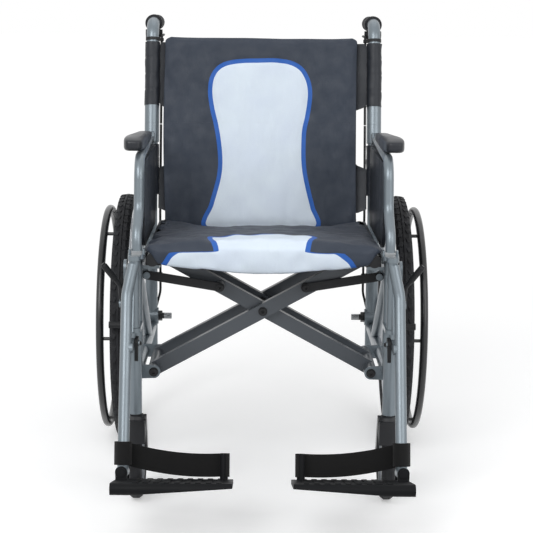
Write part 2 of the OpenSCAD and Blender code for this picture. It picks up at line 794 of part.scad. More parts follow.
caster_hub_spokes = 5;
module caster_hub() {
    r = caster_r - caster_tyre_h;
    color(steel) at_caster() difference() {
        union() {
            rotate_extrude() translate([r - 4 * weld, -caster_w * 0.4]) square([4 * weld, caster_w * 0.8]);
            cylinder(r = caster_axle_d * 1.6, h = caster_w + fork_gap, center = true);
            for (i = [0:caster_hub_spokes - 1])
                rotate([0, 0, 360 / caster_hub_spokes * i])
                    translate([0, -caster_axle_d / 2, -caster_w * 0.3])
                        cube([r - 2 * weld, caster_axle_d, caster_w * 0.6]);
        }
        cylinder(d = caster_axle_d + 2 * run_gap, h = caster_w * 2, center = true);
    }
}

// Leg rest: hinge sleeve, slanted tube and the slotted web between them
hanger_sleeve_r = 9;
hanger_low_z = hinge_low_z + gap;
hanger_high_z = post_top_z - gap;
hanger_bend_r = 60;
hanger_knee_out = 12;
hanger_knee_fore = 16;
hanger_knee_drop = 59;
hanger_tip_out = 11.5;
foot_hinge_out = 12;
hanger_top = [hanger_x + weld, -hanger_y - hanger_knee_fore / 4, post_top_z - 6 * weld];
hanger_knee = [hanger_x + hanger_knee_out, -hanger_y - hanger_knee_fore, post_top_z - hanger_knee_drop];
hanger_foot_y = 604;
hanger_tip = [hanger_x + hanger_tip_out, -hanger_foot_y,
    hanger_knee.z - (hanger_foot_y + hanger_knee.y) / tan(hanger_a)];
web_x_t = 7;
latch_y = 486;
latch_z = 308;
latch_r = 9;
latch_t = 6;
latch_pin_d = 6;
latch_tip_r = 6;
latch_hook = [16, 3];
latch_thumb = [-4, -26];
foot_hinge_x = hanger_x + foot_hinge_out;
foot_sleeve_r = 11;
foot_sleeve_len = 40;
foot_lug_t = 8;
foot_pin_d = 8;

// Puts a form on the foot plate's hinge: X across, Z up from the plate, Y to the rear
module at_foot() {
    translate([foot_hinge_x, -foot_hinge_y, plate_z]) rotate([-plate_a, 0, 0]) children();
}

module hanger() {
    slope = tan(hanger_a);
    function tube_y(z) = hanger_knee.y - (hanger_knee.z - z) * slope;
    color(frame_grey) difference() {
        union() {
            translate([hanger_x, -hanger_y, hanger_low_z])
                cylinder(r = hanger_sleeve_r, h = hanger_high_z - hanger_low_z);
            bent([hanger_top, hanger_knee, hanger_tip], hanger_d, hanger_bend_r);
            plate_yz(hanger_x - web_x_t / 2 + 3 * weld, web_x_t)
                polygon([
                    [-hanger_y, hanger_low_z], [-hanger_y, hanger_high_z],
                    [hanger_top.y, hanger_high_z], [hanger_knee.y, hanger_knee.z],
                    [tube_y(hanger_low_z), hanger_low_z]
                ]);
            // Tab and pin that carry the latch
            plate_yz(hanger_x - web_x_t / 2 + 3 * weld, web_x_t)
                link_2d([tube_y(latch_z), latch_z], latch_r, [-latch_y, latch_z], latch_r);
            translate([latch_x - gap, -latch_y, latch_z]) rotate([0, 90, 0])
                cylinder(d = latch_pin_d, h = latch_t + 2 * gap + weld);
            translate([latch_x - gap - latch_tip_r / 3, -latch_y, latch_z]) rotate([0, 90, 0])
                cylinder(d = latch_pin_d * 1.7, h = latch_tip_r / 3);
            at_foot() rotate([90, 0, 0])
                cylinder(r = foot_sleeve_r, h = foot_sleeve_len, center = true);
        }
        translate([hanger_x, -hanger_y, hanger_low_z - over])
            cylinder(d = pin_d + 2 * run_gap, h = hanger_high_z - hanger_low_z + 2 * over);
        at_foot() rotate([90, 0, 0])
            cylinder(d = foot_pin_d + 2 * run_gap, h = foot_sleeve_len + 2 * over, center = true);
    }
}

// Latch that holds a leg rest: a hook towards the stem housing, and a thumb lever
latch_x = hanger_x - web_x_t / 2 + 3 * weld - gap - latch_t;
module latch() {
    p = [-latch_y, latch_z];
    color(black) difference() {
        union() {
            plate_yz(latch_x, latch_t) link_2d(p, latch_r, p + latch_hook, latch_tip_r);
            plate_yz(latch_x, latch_t) link_2d(p, latch_r - bead, p + latch_thumb, latch_tip_r);
        }
        translate([latch_x - over, -latch_y, latch_z]) rotate([0, 90, 0])
            cylinder(d = latch_pin_d + 2 * run_gap, h = latch_t + 2 * over);
    }
}

// Foot plate with its two lugs and hinge pin
lug_gap = 1;
rib_count = 9;
rib_h = 1.2;
rib_share = 0.45;
taper_share = 0.15;
pocket_wall = 5;
plate_taper = 12;
bar_post_in = 16;
bar_post_x = foot_hinge_x + foot_sleeve_r - plate_w + bar_post_in;
bar_post_d = 14;
bar_post_h = 45;
bar_post_y = 2;
module foot_plate() {
    outer = foot_sleeve_r;
    front = plate_rear - plate_len;
    low = -plate_top_out - plate_t;
    lug_y = foot_sleeve_len / 2 + lug_gap;
    pocket = (plate_w - pocket_wall) / 3;
    color(black) at_foot() {
        difference() {
            union() {
                // Plate with full-round front and rear edges, thinner towards the middle
                difference() {
                    union() {
                        for (y = [plate_rear - plate_edge_r, front + plate_edge_r])
                            translate([outer - plate_w, y, low + plate_edge_r]) rotate([0, 90, 0])
                                cylinder(r = plate_edge_r, h = plate_w);
                        translate([outer - plate_w, front + plate_edge_r, low])
                            cube([plate_w, plate_len - plate_t, plate_t]);
                    }
                    plate_xz(front - over, plate_len + 2 * over)
                        polygon([
                            [outer - plate_w - over, low + plate_taper], [outer - plate_w * taper_share, low],
                            [outer - plate_w * taper_share, low - over], [outer - plate_w - over, low - over]
                        ]);
                }
                // Ribs along the tread
                for (i = [1:rib_count])
                    translate([
                        outer - plate_w + plate_w * 0.86 / (rib_count + 1) * i,
                        front + plate_edge_r, -plate_top_out - weld
                    ])
                        cube([plate_w / (rib_count + 1) * rib_share, plate_len - plate_t, weld + rib_h]);
                for (y = [lug_y, -lug_y - foot_lug_t])
                    plate_xz(y, foot_lug_t)
                        link_2d([0, 0], foot_sleeve_r - weld, [-weld, low + plate_edge_r],
                            foot_sleeve_r - weld);
                translate([bar_post_x - foot_hinge_x, bar_post_y, -plate_top_out - weld])
                    cylinder(d = bar_post_d, h = bar_post_h + weld);
            }
            // Hollow underside between the plate's inner ribs
            for (i = [0:2])
                translate([
                    outer - plate_w + pocket_wall + pocket * i, front + plate_edge_r, low - over
                ])
                    cube([pocket - pocket_wall, plate_len - plate_t, plate_t - pocket_wall + over]);
            // Room for the hinge sleeve to turn
            rotate([90, 0, 0])
                cylinder(r = foot_sleeve_r + lug_gap / 2, h = 2 * lug_y, center = true);
        }
        rotate([90, 0, 0])
            cylinder(d = foot_pin_d, h = 2 * lug_y + 2 * foot_lug_t, center = true);
        translate([0, -lug_y - foot_lug_t, 0]) rotate([90, 0, 0])
            cylinder(d = bolt_head_d, h = bolt_head_h * 0.4);
    }
}

// Heel strap: webbing round the tube and round the plate's post, sagging to the rear
strap_t = 2.4;
strap_sag = 14;
strap_tube_y = 9;
strap_tube_up = 31;
strap_mid_up = 9;
strap_post_up = 12;
strap_steps = 8;
function strap_path() = let (
    rt = hanger_d / 2 + 4 * weld, rp = bar_post_d / 2 + gap + strap_t / 2,
    t = [0, strap_tube_y], p = [bar_post_x - foot_hinge_x, bar_post_y],
    a = t + [0, rt], b = p + [0, rp]
) concat(
    [for (i = [0:2 * strap_steps]) let (k = -215 + 305 * i / strap_steps / 2)
        concat(t + rt * ray(k), strap_tube_up)],
    [for (i = [1:strap_steps - 1]) let (k = i / strap_steps)
        concat(a + (b - a) * k + [0, strap_sag * 4 * k * (1 - k)],
            strap_tube_up * (1 - k) * (1 - k) + strap_mid_up * 2 * k * (1 - k) * 0.5
                + strap_post_up * k * k)],
    [for (i = [0:strap_steps]) let (k = 90 + 160 * i / strap_steps)
        concat(p + rp * ray(k), strap_post_up)]
);

// A flat band of webbing along points, standing on edge
module band(p, w, t) {
    n = len(p);
    function flat(v) = unit([v.x, v.y]);
    function way(i) = flat(p[min(i + 1, n - 1)] - p[max(i - 1, 0)]);
    pts = [for (i = [0:n - 1]) let (d = way(i), s = [-d.y, d.x, 0] * t / 2, h = [0, 0, w / 2])
        each [p[i] + s - h, p[i] + s + h, p[i] - s + h, p[i] - s - h]];
    faces = concat(
        [[3, 2, 1], [3, 1, 0]],
        [for (i = [0:n - 2], j = [0:3]) let (a = 4 * i + j, b = 4 * i + (j + 1) % 4)
            each [[a, b, b + 4], [a, b + 4, a + 4]]],
        [let (e = 4 * (n - 1)) each [[e, e + 1, e + 2], [e, e + 2, e + 3]]]
    );
    polyhedron(pts, faces);
}

module heel_strap() {
    color(black) at_foot() band(strap_path(), strap_w, strap_t);
}

// Arm rest: tube from the rear pivot under the pad, and down to its foot on the head plate
pad_low_z = pad_top_z - pad_t;
arm_z = pad_low_z - arm_d / 2;
arm_bend_r = 38;
arm_fore = 8;
arm_front_h = 90;
arm_sweep_h = 40;
module arm_tube() {
    color(frame_grey) difference() {
        union() {
            bent([
                [pad_x, arm_pivot.y - arm_pivot_r - 2 * gap, arm_z],
                [arm_foot_x - over, -pad_front_y - arm_fore, arm_z],
                [arm_foot_x - weld, -pad_front_y - arm_fore - cap_t, arm_z - arm_front_h],
                [arm_foot_x, -arm_seat_y, arm_z - arm_front_h - arm_sweep_h],
                [arm_foot_x, -arm_seat_y, arm_foot_z + cap_t]
            ], arm_d, arm_bend_r);
            plate_yz(pad_x - arm_knuckle_w / 2, arm_knuckle_w)
                link_2d([arm_pivot.y, arm_pivot_z], arm_pivot_r,
                    [arm_pivot.y - 2.5 * arm_pivot_r, arm_z], arm_d / 2 - weld);
        }
        translate([pad_x - arm_knuckle_w, arm_pivot.y, arm_pivot_z]) rotate([0, 90, 0])
            cylinder(d = bolt_d + 2 * run_gap, h = 2 * arm_knuckle_w);
    }
}

// Padded top of the arm, and the knob at the arm's foot
module arm_pad() {
    r = pad_w / 2;
    color(black) {
        translate([pad_x, 0, pad_low_z]) {
            for (y = [-pad_front_y + r, -pad_rear_y - r])
                translate([0, y, 0]) pad_end(r, pad_t);
            translate([0, -pad_rear_y - r, 0]) rotate([90, 0, 0])
                linear_extrude(pad_front_y - pad_rear_y - 2 * r) pad_section(r, pad_t);
        }
        translate([arm_foot_x, -arm_seat_y, arm_foot_z]) {
            cylinder(d = arm_foot_d, h = cap_t);
            cylinder(d = arm_foot_d * 0.8, h = cap_t);
        }
    }
}

module pad_half_2d(r, t) {
    polygon([
        [0, 0], [r * 0.8, 0], [r, t * 0.3], [r, t * 0.68], [r * 0.86, t * 0.9], [r * 0.6, t], [0, t]
    ]);
}

module pad_section(r, t) {
    pad_half_2d(r, t);
    mirror([1, 0]) pad_half_2d(r, t);
}

module pad_end(r, t) {
    rotate_extrude() pad_half_2d(r, t);
}

// Side guard under the arm, in the plane of its tube
guard_low_z = 462;
guard_front_y = 388;
guard_rear_y = 66;
guard_corner_r = 30;
guard_in = 9;
guard_x = arm_foot_x - guard_in;
module side_guard() {
    high = arm_z - arm_d / 2 - gap / 2;
    color(black) plate_yz(guard_x, guard_t) {
        for (y = [-guard_front_y + guard_corner_r, -guard_rear_y - guard_corner_r])
            translate([y, guard_low_z + guard_corner_r]) circle(r = guard_corner_r);
        translate([-guard_front_y + guard_corner_r, guard_low_z])
            square([guard_front_y - guard_rear_y - 2 * guard_corner_r, guard_corner_r]);
        translate([-guard_front_y + guard_corner_r, high - guard_corner_r]) circle(r = guard_corner_r);
        translate([-guard_front_y, guard_low_z + guard_corner_r])
            square([guard_front_y - guard_rear_y, high - guard_low_z - 2 * guard_corner_r]);
        translate([-guard_front_y + guard_corner_r, high - 2 * guard_corner_r])
            square([guard_front_y - guard_rear_y - guard_corner_r, 2 * guard_corner_r]);
    }
}

// Parking brake lever: plate on its pivot, shoe bar before the tyre, bent grip above
shoe_d = 13;
shoe_y = 266;
shoe_z = 292;
shoe_out_x = 294;
brake_grip_d = 12;
brake_bend_r = 16;
brake_stalk_d = 9;
brake_arm_x = brake_x - gap / 2;
brake_lean = 4;
brake_boss_h = 24;
brake_top_out = 33;
brake_top_fore = 10;
brake_top_h = 76;
brake_knee_h = 34;
brake_top = [brake_x + brake_top_out, -brake_y - brake_top_fore, brake_z + brake_top_h];
brake_knee = [brake_arm_x + weld, -brake_y - brake_lean - weld, brake_z + brake_knee_h];

// A straight round bar from a to b with a domed end at b
module knob(a, b, d) {
    v = b - a;
    len = norm(v) - d / 2;
    translate(a) rotate([0, acos(v.z / norm(v)), atan2(v.y, v.x)]) rotate_extrude()
        polygon(concat([[0, 0], [d / 2, 0]], [for (k = [0:15:90]) [0, len] + d / 2 * ray(k)]));
}

module brake_lever() {
    x = brake_x - brake_plate_t;
    color(black) difference() {
        union() {
            plate_yz(x, brake_plate_t) {
                link_2d([-brake_y, brake_z], brake_boss_r, [-shoe_y, shoe_z], shoe_d / 2 + weld);
                link_2d([-brake_y, brake_z], brake_boss_r, [-brake_y - brake_lean, brake_z + brake_boss_h],
                    brake_boss_r);
            }
            translate([x, -shoe_y, shoe_z]) rotate([0, 90, 0]) cylinder(d = shoe_d, h = shoe_out_x - x);
            bent([[brake_arm_x, -brake_y - brake_lean, brake_z + brake_boss_r], brake_knee, brake_top],
                brake_stalk_d, brake_bend_r);
            knob(brake_knee + (brake_top - brake_knee) * 0.3, brake_top, brake_grip_d);
        }
        translate([x - over, -brake_y, brake_z]) rotate([0, 90, 0])
            cylinder(d = bolt_d + 2 * run_gap, h = brake_plate_t + 2 * over);
    }
}

// Upper cane: the moving half of the hinge socket, the cane and its bent push handle
grip_d = 32;
grip_len = 118;
collar_d = 43;
collar_len = 16;
function handle_at(y) = [frame_x, cane_at(top_s).y + y, handle_z];
module upper_cane() {
    color(frame_grey) difference() {
        union() {
            rod(cane_at(split_s + gap / 2), cane_at(split_s + socket_len), socket_d);
            bent([cane_at(split_s + gap / 2), cane_at(top_s), handle_at(handle_len - cap_t)],
                cane_d, handle_bend_r);
            at_back_hinge(frame_x - knuckle_w / 2, knuckle_w) back_ear_2d(false);
        }
        translate(behind_cane(split_s, back_hinge_y) - [knuckle_w, 0, 0]) rotate([0, 90, 0])
            cylinder(d = hinge_pin_d + 2 * run_gap, h = 2 * knuckle_w);
    }
}

// Pin of the back's hinge, held by the fixed ears
module back_hinge_pin() {
    w = knuckle_w + 2 * gap + 2 * ear_t;
    color(steel) translate(behind_cane(split_s, back_hinge_y) - [w / 2, 0, 0]) rotate([0, 90, 0])
        cylinder(d = hinge_pin_d, h = w);
}

// Pins of a side frame: the cross-brace's rod and the pin of the folding back
module pins() {
    pivot_rod();
    back_hinge_pin();
}

// Grip with finger ridges, and the collar and ears of the attendant's brake lever
grip_ridges = 7;
lever_t = 6;
lever_ear_t = 14;
lever_r = 5.5;
lever_pin_d = 5;
lever_drop = 24;
lever_pivot = handle_at(handle_len - grip_len + collar_len / 2) - [0, 0, lever_drop];
module push_grip() {
    len = grip_len - collar_len;
    color(black) {
        translate(handle_at(handle_len - grip_len)) rotate([-90, 0, 0]) difference() {
            union() {
                translate([0, 0, collar_len]) rotate_extrude()
                    polygon(concat([[0, 0]], [for (i = [0:2 * grip_ridges])
                        [grip_d / 2 - (i % 2) * weld * 1.2, len * 0.94 / (2 * grip_ridges) * i]],
                        [[grip_d * 0.4, len], [0, len]]));
                cylinder(d = collar_d * 0.84, h = collar_len);
            }
            translate([0, 0, -over]) cylinder(d = cane_d, h = grip_len - cap_t + over);
        }
        for (m = [-1, 1])
            plate_yz(frame_x + m * (lever_t / 2 + gap + lever_ear_t / 2) - lever_ear_t / 2, lever_ear_t)
                link_2d([lever_pivot.y, lever_pivot.z], lever_r,
                    [lever_pivot.y, handle_z - cane_d / 2 - collar_len * 0.45 - gap], collar_len * 0.45);
        translate(lever_pivot - [lever_t / 2 + gap + lever_ear_t, 0, 0]) rotate([0, 90, 0])
            cylinder(d = lever_pin_d, h = lever_t + 2 * gap + 2 * lever_ear_t);
    }
}

// Brake cable beside the cane: upper half from the lever's ears to the fold, lower half
// from the fold to the axle's receiver, each with a clip round the cane
cable_d = 5;
cable_x = frame_x - 18.5;
cable_out = 5.4;
cable_bend_r = 14;
cable_top_s = top_s - 24;
cable_end_x = frame_x - 8;
cable_end_y = cane_d / 2 + cable_d / 2 + gap;
cable_turn_z = wheel_r + 3 * receiver_r;
clip_h = 6;
clip_wall = 1.8;
clip_z = wheel_r + 5 * receiver_r;

// Point of the cable beside the cane, s along it
function cable_at(s) = behind_cane(s, cable_out) - [frame_x - cable_x, 0, 0];

module cable_clip() {
    linear_extrude(clip_h) difference() {
        link_2d([frame_x, 0], cane_d / 2 + clip_wall, [cable_x, cable_out], cable_d / 2 + clip_wall);
        translate([frame_x, 0]) circle(d = cane_d + 2 * run_gap);
    }
}

module cable_upper() {
    color(black) {
        bent([
            cable_at(split_s + 2 * gap), cable_at(cable_top_s),
            [frame_x - lever_t / 2 - lever_ear_t - 2 * gap - cable_d / 2, lever_pivot.y, lever_pivot.z]
        ], cable_d, cable_bend_r);
        at_back() translate([0, 0, back_high_s - cloth_edge * 1.5]) cable_clip();
    }
}

module cable_lower() {
    color(black) {
        bent([
            cable_at(split_s - 2 * gap), cable_at(0), [cable_x, cable_out, cable_turn_z],
            [cable_end_x, cable_end_y, wheel_r + receiver_r * 0.68]
        ], cable_d, 3 * cable_bend_r);
        translate([0, 0, clip_z]) cable_clip();
    }
}

module attendant_lever() {
    p = [lever_pivot.y, lever_pivot.z];
    elbow = p + grip_len * [0.45, -0.12];
    color(steel) difference() {
        union() {
            plate_yz(frame_x - lever_t / 2, lever_t) link_2d(p, lever_r, elbow, lever_r * 0.8);
            plate_yz(frame_x - lever_t / 2, lever_t)
                link_2d(elbow, lever_r * 0.8, p + grip_len * [0.84, -0.09], lever_r * 0.8);
        }
        translate(lever_pivot - [lever_t, 0, 0]) rotate([0, 90, 0])
            cylinder(d = lever_pin_d + 2 * run_gap, h = 2 * lever_t);
    }
}

// A padded form with rounded corners: top is its upper edge, crown the rise of its
// middle, low its lower edge, sag the drop of its lower middle, roll its drawn-in sides,
// and fall the drop of its upper middle from one end to the other
module pillow(w, l, r, top, crown, low, sag, roll, n, inner = 1, fall = 0) {
    function share(i) = sin(90 * (2 * i / n - 1));
    function corner(v) = let (q = (abs(v) * l / 2 - l / 2 + r) / r)
        q <= 0 ? 0 : 1 - sqrt(max(0, 1 - q * q));
    function edge(u, v) = sqrt((1 - pow(u, 8)) * (1 - pow(v, 8)));
    function at(i, j, up) = let (u = share(i), v = share(j))
        [u * (w / 2 - r * corner(v)), v * l / 2, up
            ? top + (crown * (1 - pow(v, 4) / 2) - fall * (1 + v) / 2) * (1 - u * u)
                - roll * (1 - edge(u, v))
            : low - sag * max(0, 1 - u * u / inner / inner) + roll * (1 - edge(u, v))];
    k = n + 1;
    pts = concat(
        [for (i = [0:n], j = [0:n]) at(i, j, true)], [for (i = [0:n], j = [0:n]) at(i, j, false)]
    );
    rim = concat([for (i = [0:n - 1]) i * k], [for (j = [0:n - 1]) n * k + j],
        [for (i = [0:n - 1]) (n - i) * k + n], [for (j = [0:n - 1]) n - j]);
    faces = concat(
        [for (i = [0:n - 1], j = [0:n - 1]) let (a = i * k + j)
            each [[a, a + 1, a + k + 1], [a, a + k + 1, a + k]]],
        [for (i = [0:n - 1], j = [0:n - 1]) let (a = k * k + i * k + j)
            each [[a, a + k + 1, a + 1], [a, a + k, a + k + 1]]],
        [for (i = [0:len(rim) - 1]) let (a = rim[i], b = rim[(i + 1) % len(rim)])
            each [[a, b, b + k * k], [a, b + k * k, a + k * k]]]
    );
    polyhedron(pts, faces);
}

// A band of cloth across the chair: flat from half to inner, sag away at its middle
cloth_t = 2.4;
cloth_steps = 24;
module sag_2d(half, inner, sag) {
    x = concat(-half, [for (i = [0:cloth_steps]) inner * (2 * i / cloth_steps - 1)], half);
    function at(v) = sag * max(0, 1 - v * v / inner / inner);
    polygon(concat(
        [for (v = x) [v, at(v)]],
        [for (i = [len(x) - 1:-1:0]) [x[i], at(x[i]) + cloth_t]]
    ));
}

seat_drop = 35;
sling_z = rail_z + bar_h / 2 * cos(cross_a) + gap;
sling_inner_x = rail_x - bar_h / 2 * sin(cross_a);
cushion_n = 16;
module seat_sling() {
    color(black) translate([0, -seat_rear_y, sling_z]) rotate([90, 0, 0])
        linear_extrude(rail_front_y - seat_rear_y - gap)
            sag_2d(rail_x + rail_d / 2, sling_inner_x, -seat_drop);
}

module seat_cushion() {
    len = seat_front_y - seat_rear_y;
    low = sling_z + cloth_t + gap;
    color(slate) translate([0, -seat_front_y + len / 2, 0])
        pillow(seat_w, len, 5 * cap_t, seat_side_z, seat_top_z - seat_side_z, low, low - seat_front_z,
            (seat_side_z - low) * 0.42, cushion_n, sling_inner_x * 2 / seat_w, seat_fall);
}

// Puts a form on the leaning back: Z along the canes from the split, Y to the rear
module at_back() {
    translate(cane_at(split_s) - [frame_x, 0, 0]) rotate([-lean_a, 0, 0]) children();
}

// Cloth of the back between two heights along the canes, with sleeves on part of it
back_sag = 14;
sleeve_cloth_r = 16;
module back_cloth(a, b, sleeve_a, sleeve_b) {
    half = frame_x - sleeve_cloth_r;
    color(black) at_back() {
        translate([0, 0, a]) linear_extrude(b - a) sag_2d(half, half - cloth_t, back_sag);
        for (m = [-1, 1])
            translate([0, 0, sleeve_a]) linear_extrude(sleeve_b - sleeve_a)
                difference() {
                    union() {
                        translate([m * frame_x, 0]) circle(r = sleeve_cloth_r);
                        translate([m * (half + cloth_t) - 2 * cloth_t, 0])
                            square([4 * cloth_t, cloth_t]);
                    }
                    translate([m * frame_x, 0]) circle(r = cane_d / 2 + gap);
                }
    }
}

module back_pad(a, b) {
    color(slate) at_back() translate([0, -gap, (a + b) / 2]) rotate([90, 0, 0])
        pillow(back_w, b - a, 4 * cap_t, back_t * 0.8, back_t * 0.2, 0, back_sag, back_t * 0.3,
            cushion_n);
}

back_low_s = (back_low_z - split_z) / cos(lean_a);
back_high_s = (back_top_z - split_z) / cos(lean_a);
cloth_edge = 4;
module back_sling_lower() {
    back_cloth(-split_s + cloth_edge, -gap, -split_s + 10 * cloth_edge, -socket_len - 2 * cloth_edge);
}

module back_sling_upper() {
    back_cloth(2 * gap, back_high_s - 2 * cloth_edge, socket_len + cloth_edge,
        back_high_s - 3 * cloth_edge);
}

module back_pad_lower() {
    back_pad(back_low_s, -gap);
}

module back_pad_upper() {
    back_pad(2 * gap, back_high_s);
}

on_side(false) side_frame();  // frame_right
on_side(true) side_frame();  // frame_left
on_side(false) frame_plastics();  // plastics_right
on_side(true) frame_plastics();  // plastics_left
on_side(false) rear_axle();  // axle_right
on_side(true) rear_axle();  // axle_left
on_side(false) pins();  // pins_right
on_side(true) pins();  // pins_left
on_side(false) cable_lower();  // cable_lower_right
on_side(true) cable_lower();  // cable_lower_left
on_side(false) cable_upper();  // cable_upper_right
on_side(true) cable_upper();  // cable_upper_left
on_side(false) latch();  // latch_right
on_side(true) latch();  // latch_left
middle() cross_outer();
middle() cross_inner();
middle() cross_bolts();
on_side(true) rail_caps();  // rail_caps_left
on_side(false) rail_caps();  // rail_caps_right
on_side(false) guide_link();  // guide_link_right
on_side(true) guide_link();  // guide_link_left
middle() seat_sling();
middle() seat_cushion();
middle() back_sling_lower();
middle() back_pad_lower();
middle() back_sling_upper();
middle() back_pad_upper();
on_side(false) rear_tyre();  // tyre_right
on_side(true) rear_tyre();  // tyre_left
on_side(false) rear_rim();  // rim_right
on_side(true) rear_rim();  // rim_left
on_side(false) push_rim();  // push_rim_right
on_side(true) push_rim();  // push_rim_left
on_side(false) caster_fork();  // fork_right
on_side(true) caster_fork();  // fork_left
on_side(false) caster_tyre();  // caster_tyre_right
on_side(true) caster_tyre();  // caster_tyre_left
on_side(false) caster_hub();  // caster_hub_right
on_side(true) caster_hub();  // caster_hub_left
on_side(false) hanger();  // hanger_right
on_side(true) hanger();  // hanger_left
on_side(false) heel_strap();  // heel_strap_right
on_side(true) heel_strap();  // heel_strap_left
on_side(false) foot_plate();  // foot_plate_right
on_side(true) foot_plate();  // foot_plate_left
on_side(false) arm_tube();  // arm_tube_right
on_side(true) arm_tube();  // arm_tube_left
on_side(false) arm_pad();  // arm_pad_right
on_side(true) arm_pad();  // arm_pad_left
on_side(false) side_guard();  // side_guard_right
on_side(true) side_guard();  // side_guard_left
on_side(false) brake_lever();  // brake_lever_right
on_side(true) brake_lever();  // brake_lever_left
on_side(false) upper_cane();  // upper_cane_right
on_side(true) upper_cane();  // upper_cane_left
on_side(false) push_grip();  // push_grip_right
on_side(true) push_grip();  // push_grip_left
on_side(false) attendant_lever();  // attendant_lever_right
on_side(true) attendant_lever();  // attendant_lever_left
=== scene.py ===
"""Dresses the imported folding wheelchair: finishes, upholstery, straps, treads and studio."""

import logging
import math
from contextlib import contextmanager
from dataclasses import dataclass, field
from enum import Enum
from typing import Iterator, Optional, Sequence

import bmesh
import bpy
import numpy as np
from mathutils import Matrix, Vector, noise


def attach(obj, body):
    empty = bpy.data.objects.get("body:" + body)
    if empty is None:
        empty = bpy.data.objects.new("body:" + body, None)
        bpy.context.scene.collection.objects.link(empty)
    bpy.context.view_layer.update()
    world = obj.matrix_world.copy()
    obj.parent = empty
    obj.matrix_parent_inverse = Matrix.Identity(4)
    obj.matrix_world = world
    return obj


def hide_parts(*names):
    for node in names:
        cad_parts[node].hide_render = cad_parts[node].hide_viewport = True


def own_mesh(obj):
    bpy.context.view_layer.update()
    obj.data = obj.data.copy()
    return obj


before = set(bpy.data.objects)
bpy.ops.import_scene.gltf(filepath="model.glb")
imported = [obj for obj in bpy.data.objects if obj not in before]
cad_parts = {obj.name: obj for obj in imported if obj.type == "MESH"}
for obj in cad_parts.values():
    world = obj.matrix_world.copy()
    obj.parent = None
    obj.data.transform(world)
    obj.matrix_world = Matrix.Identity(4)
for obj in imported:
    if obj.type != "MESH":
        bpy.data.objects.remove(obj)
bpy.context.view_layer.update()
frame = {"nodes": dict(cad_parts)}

log = logging.getLogger("wheelchair")

Point = tuple[float, float, float]
Colour = tuple[float, float, float]

# The chair's own places, in metres: the rear axle, the back's lean and fold, the canes and the seat's rails
AXLE_Y = 0.239869
LEAN = math.radians(12.0)
FOLD_Z = 0.652
LEAN_FROM_Z = 0.470
CANE_X = 0.230
# The fold on the canes' line, and the leaning back's own frame: X, rearward and along the canes
SPLIT = Vector((0.0, AXLE_Y + (FOLD_Z - LEAN_FROM_Z) * math.tan(LEAN), FOLD_Z))
BACK = Matrix.Translation(SPLIT) @ Matrix.Rotation(-LEAN, 4, "X")
# The mesh and pressure of the upholstery's wadding
PAD_MESH = 0.0055
PAD_PRESSURE = 4.0
# The seam distance of points that face away from the sewn panel, and half widths of a seam's band and trough
OFF_PANEL = 0.03
BAND_HALF = 0.0042
TROUGH_HALF = 0.006


class Side(Enum):
    """The user's two sides; the value is the sign of X."""

    LEFT = 1
    RIGHT = -1

    @property
    def label(self) -> str:
        """The side's word in the node and body names."""
        return self.name.lower()


def linear(hex_code: str) -> Colour:
    """Turns a written sRGB colour into linear values.

    Args:
        hex_code: Six hex digits.

    Returns:
        Linear red, green and blue.
    """
    parts = [int(hex_code[i:i + 2], 16) / 255 for i in (0, 2, 4)]
    return tuple(p / 12.92 if p <= 0.04045 else ((p + 0.055) / 1.055) ** 2.4 for p in parts)


def shaded(colour: Colour, factor: float) -> Colour:
    """A colour made darker or lighter."""
    return tuple(min(1.0, c * factor) for c in colour)


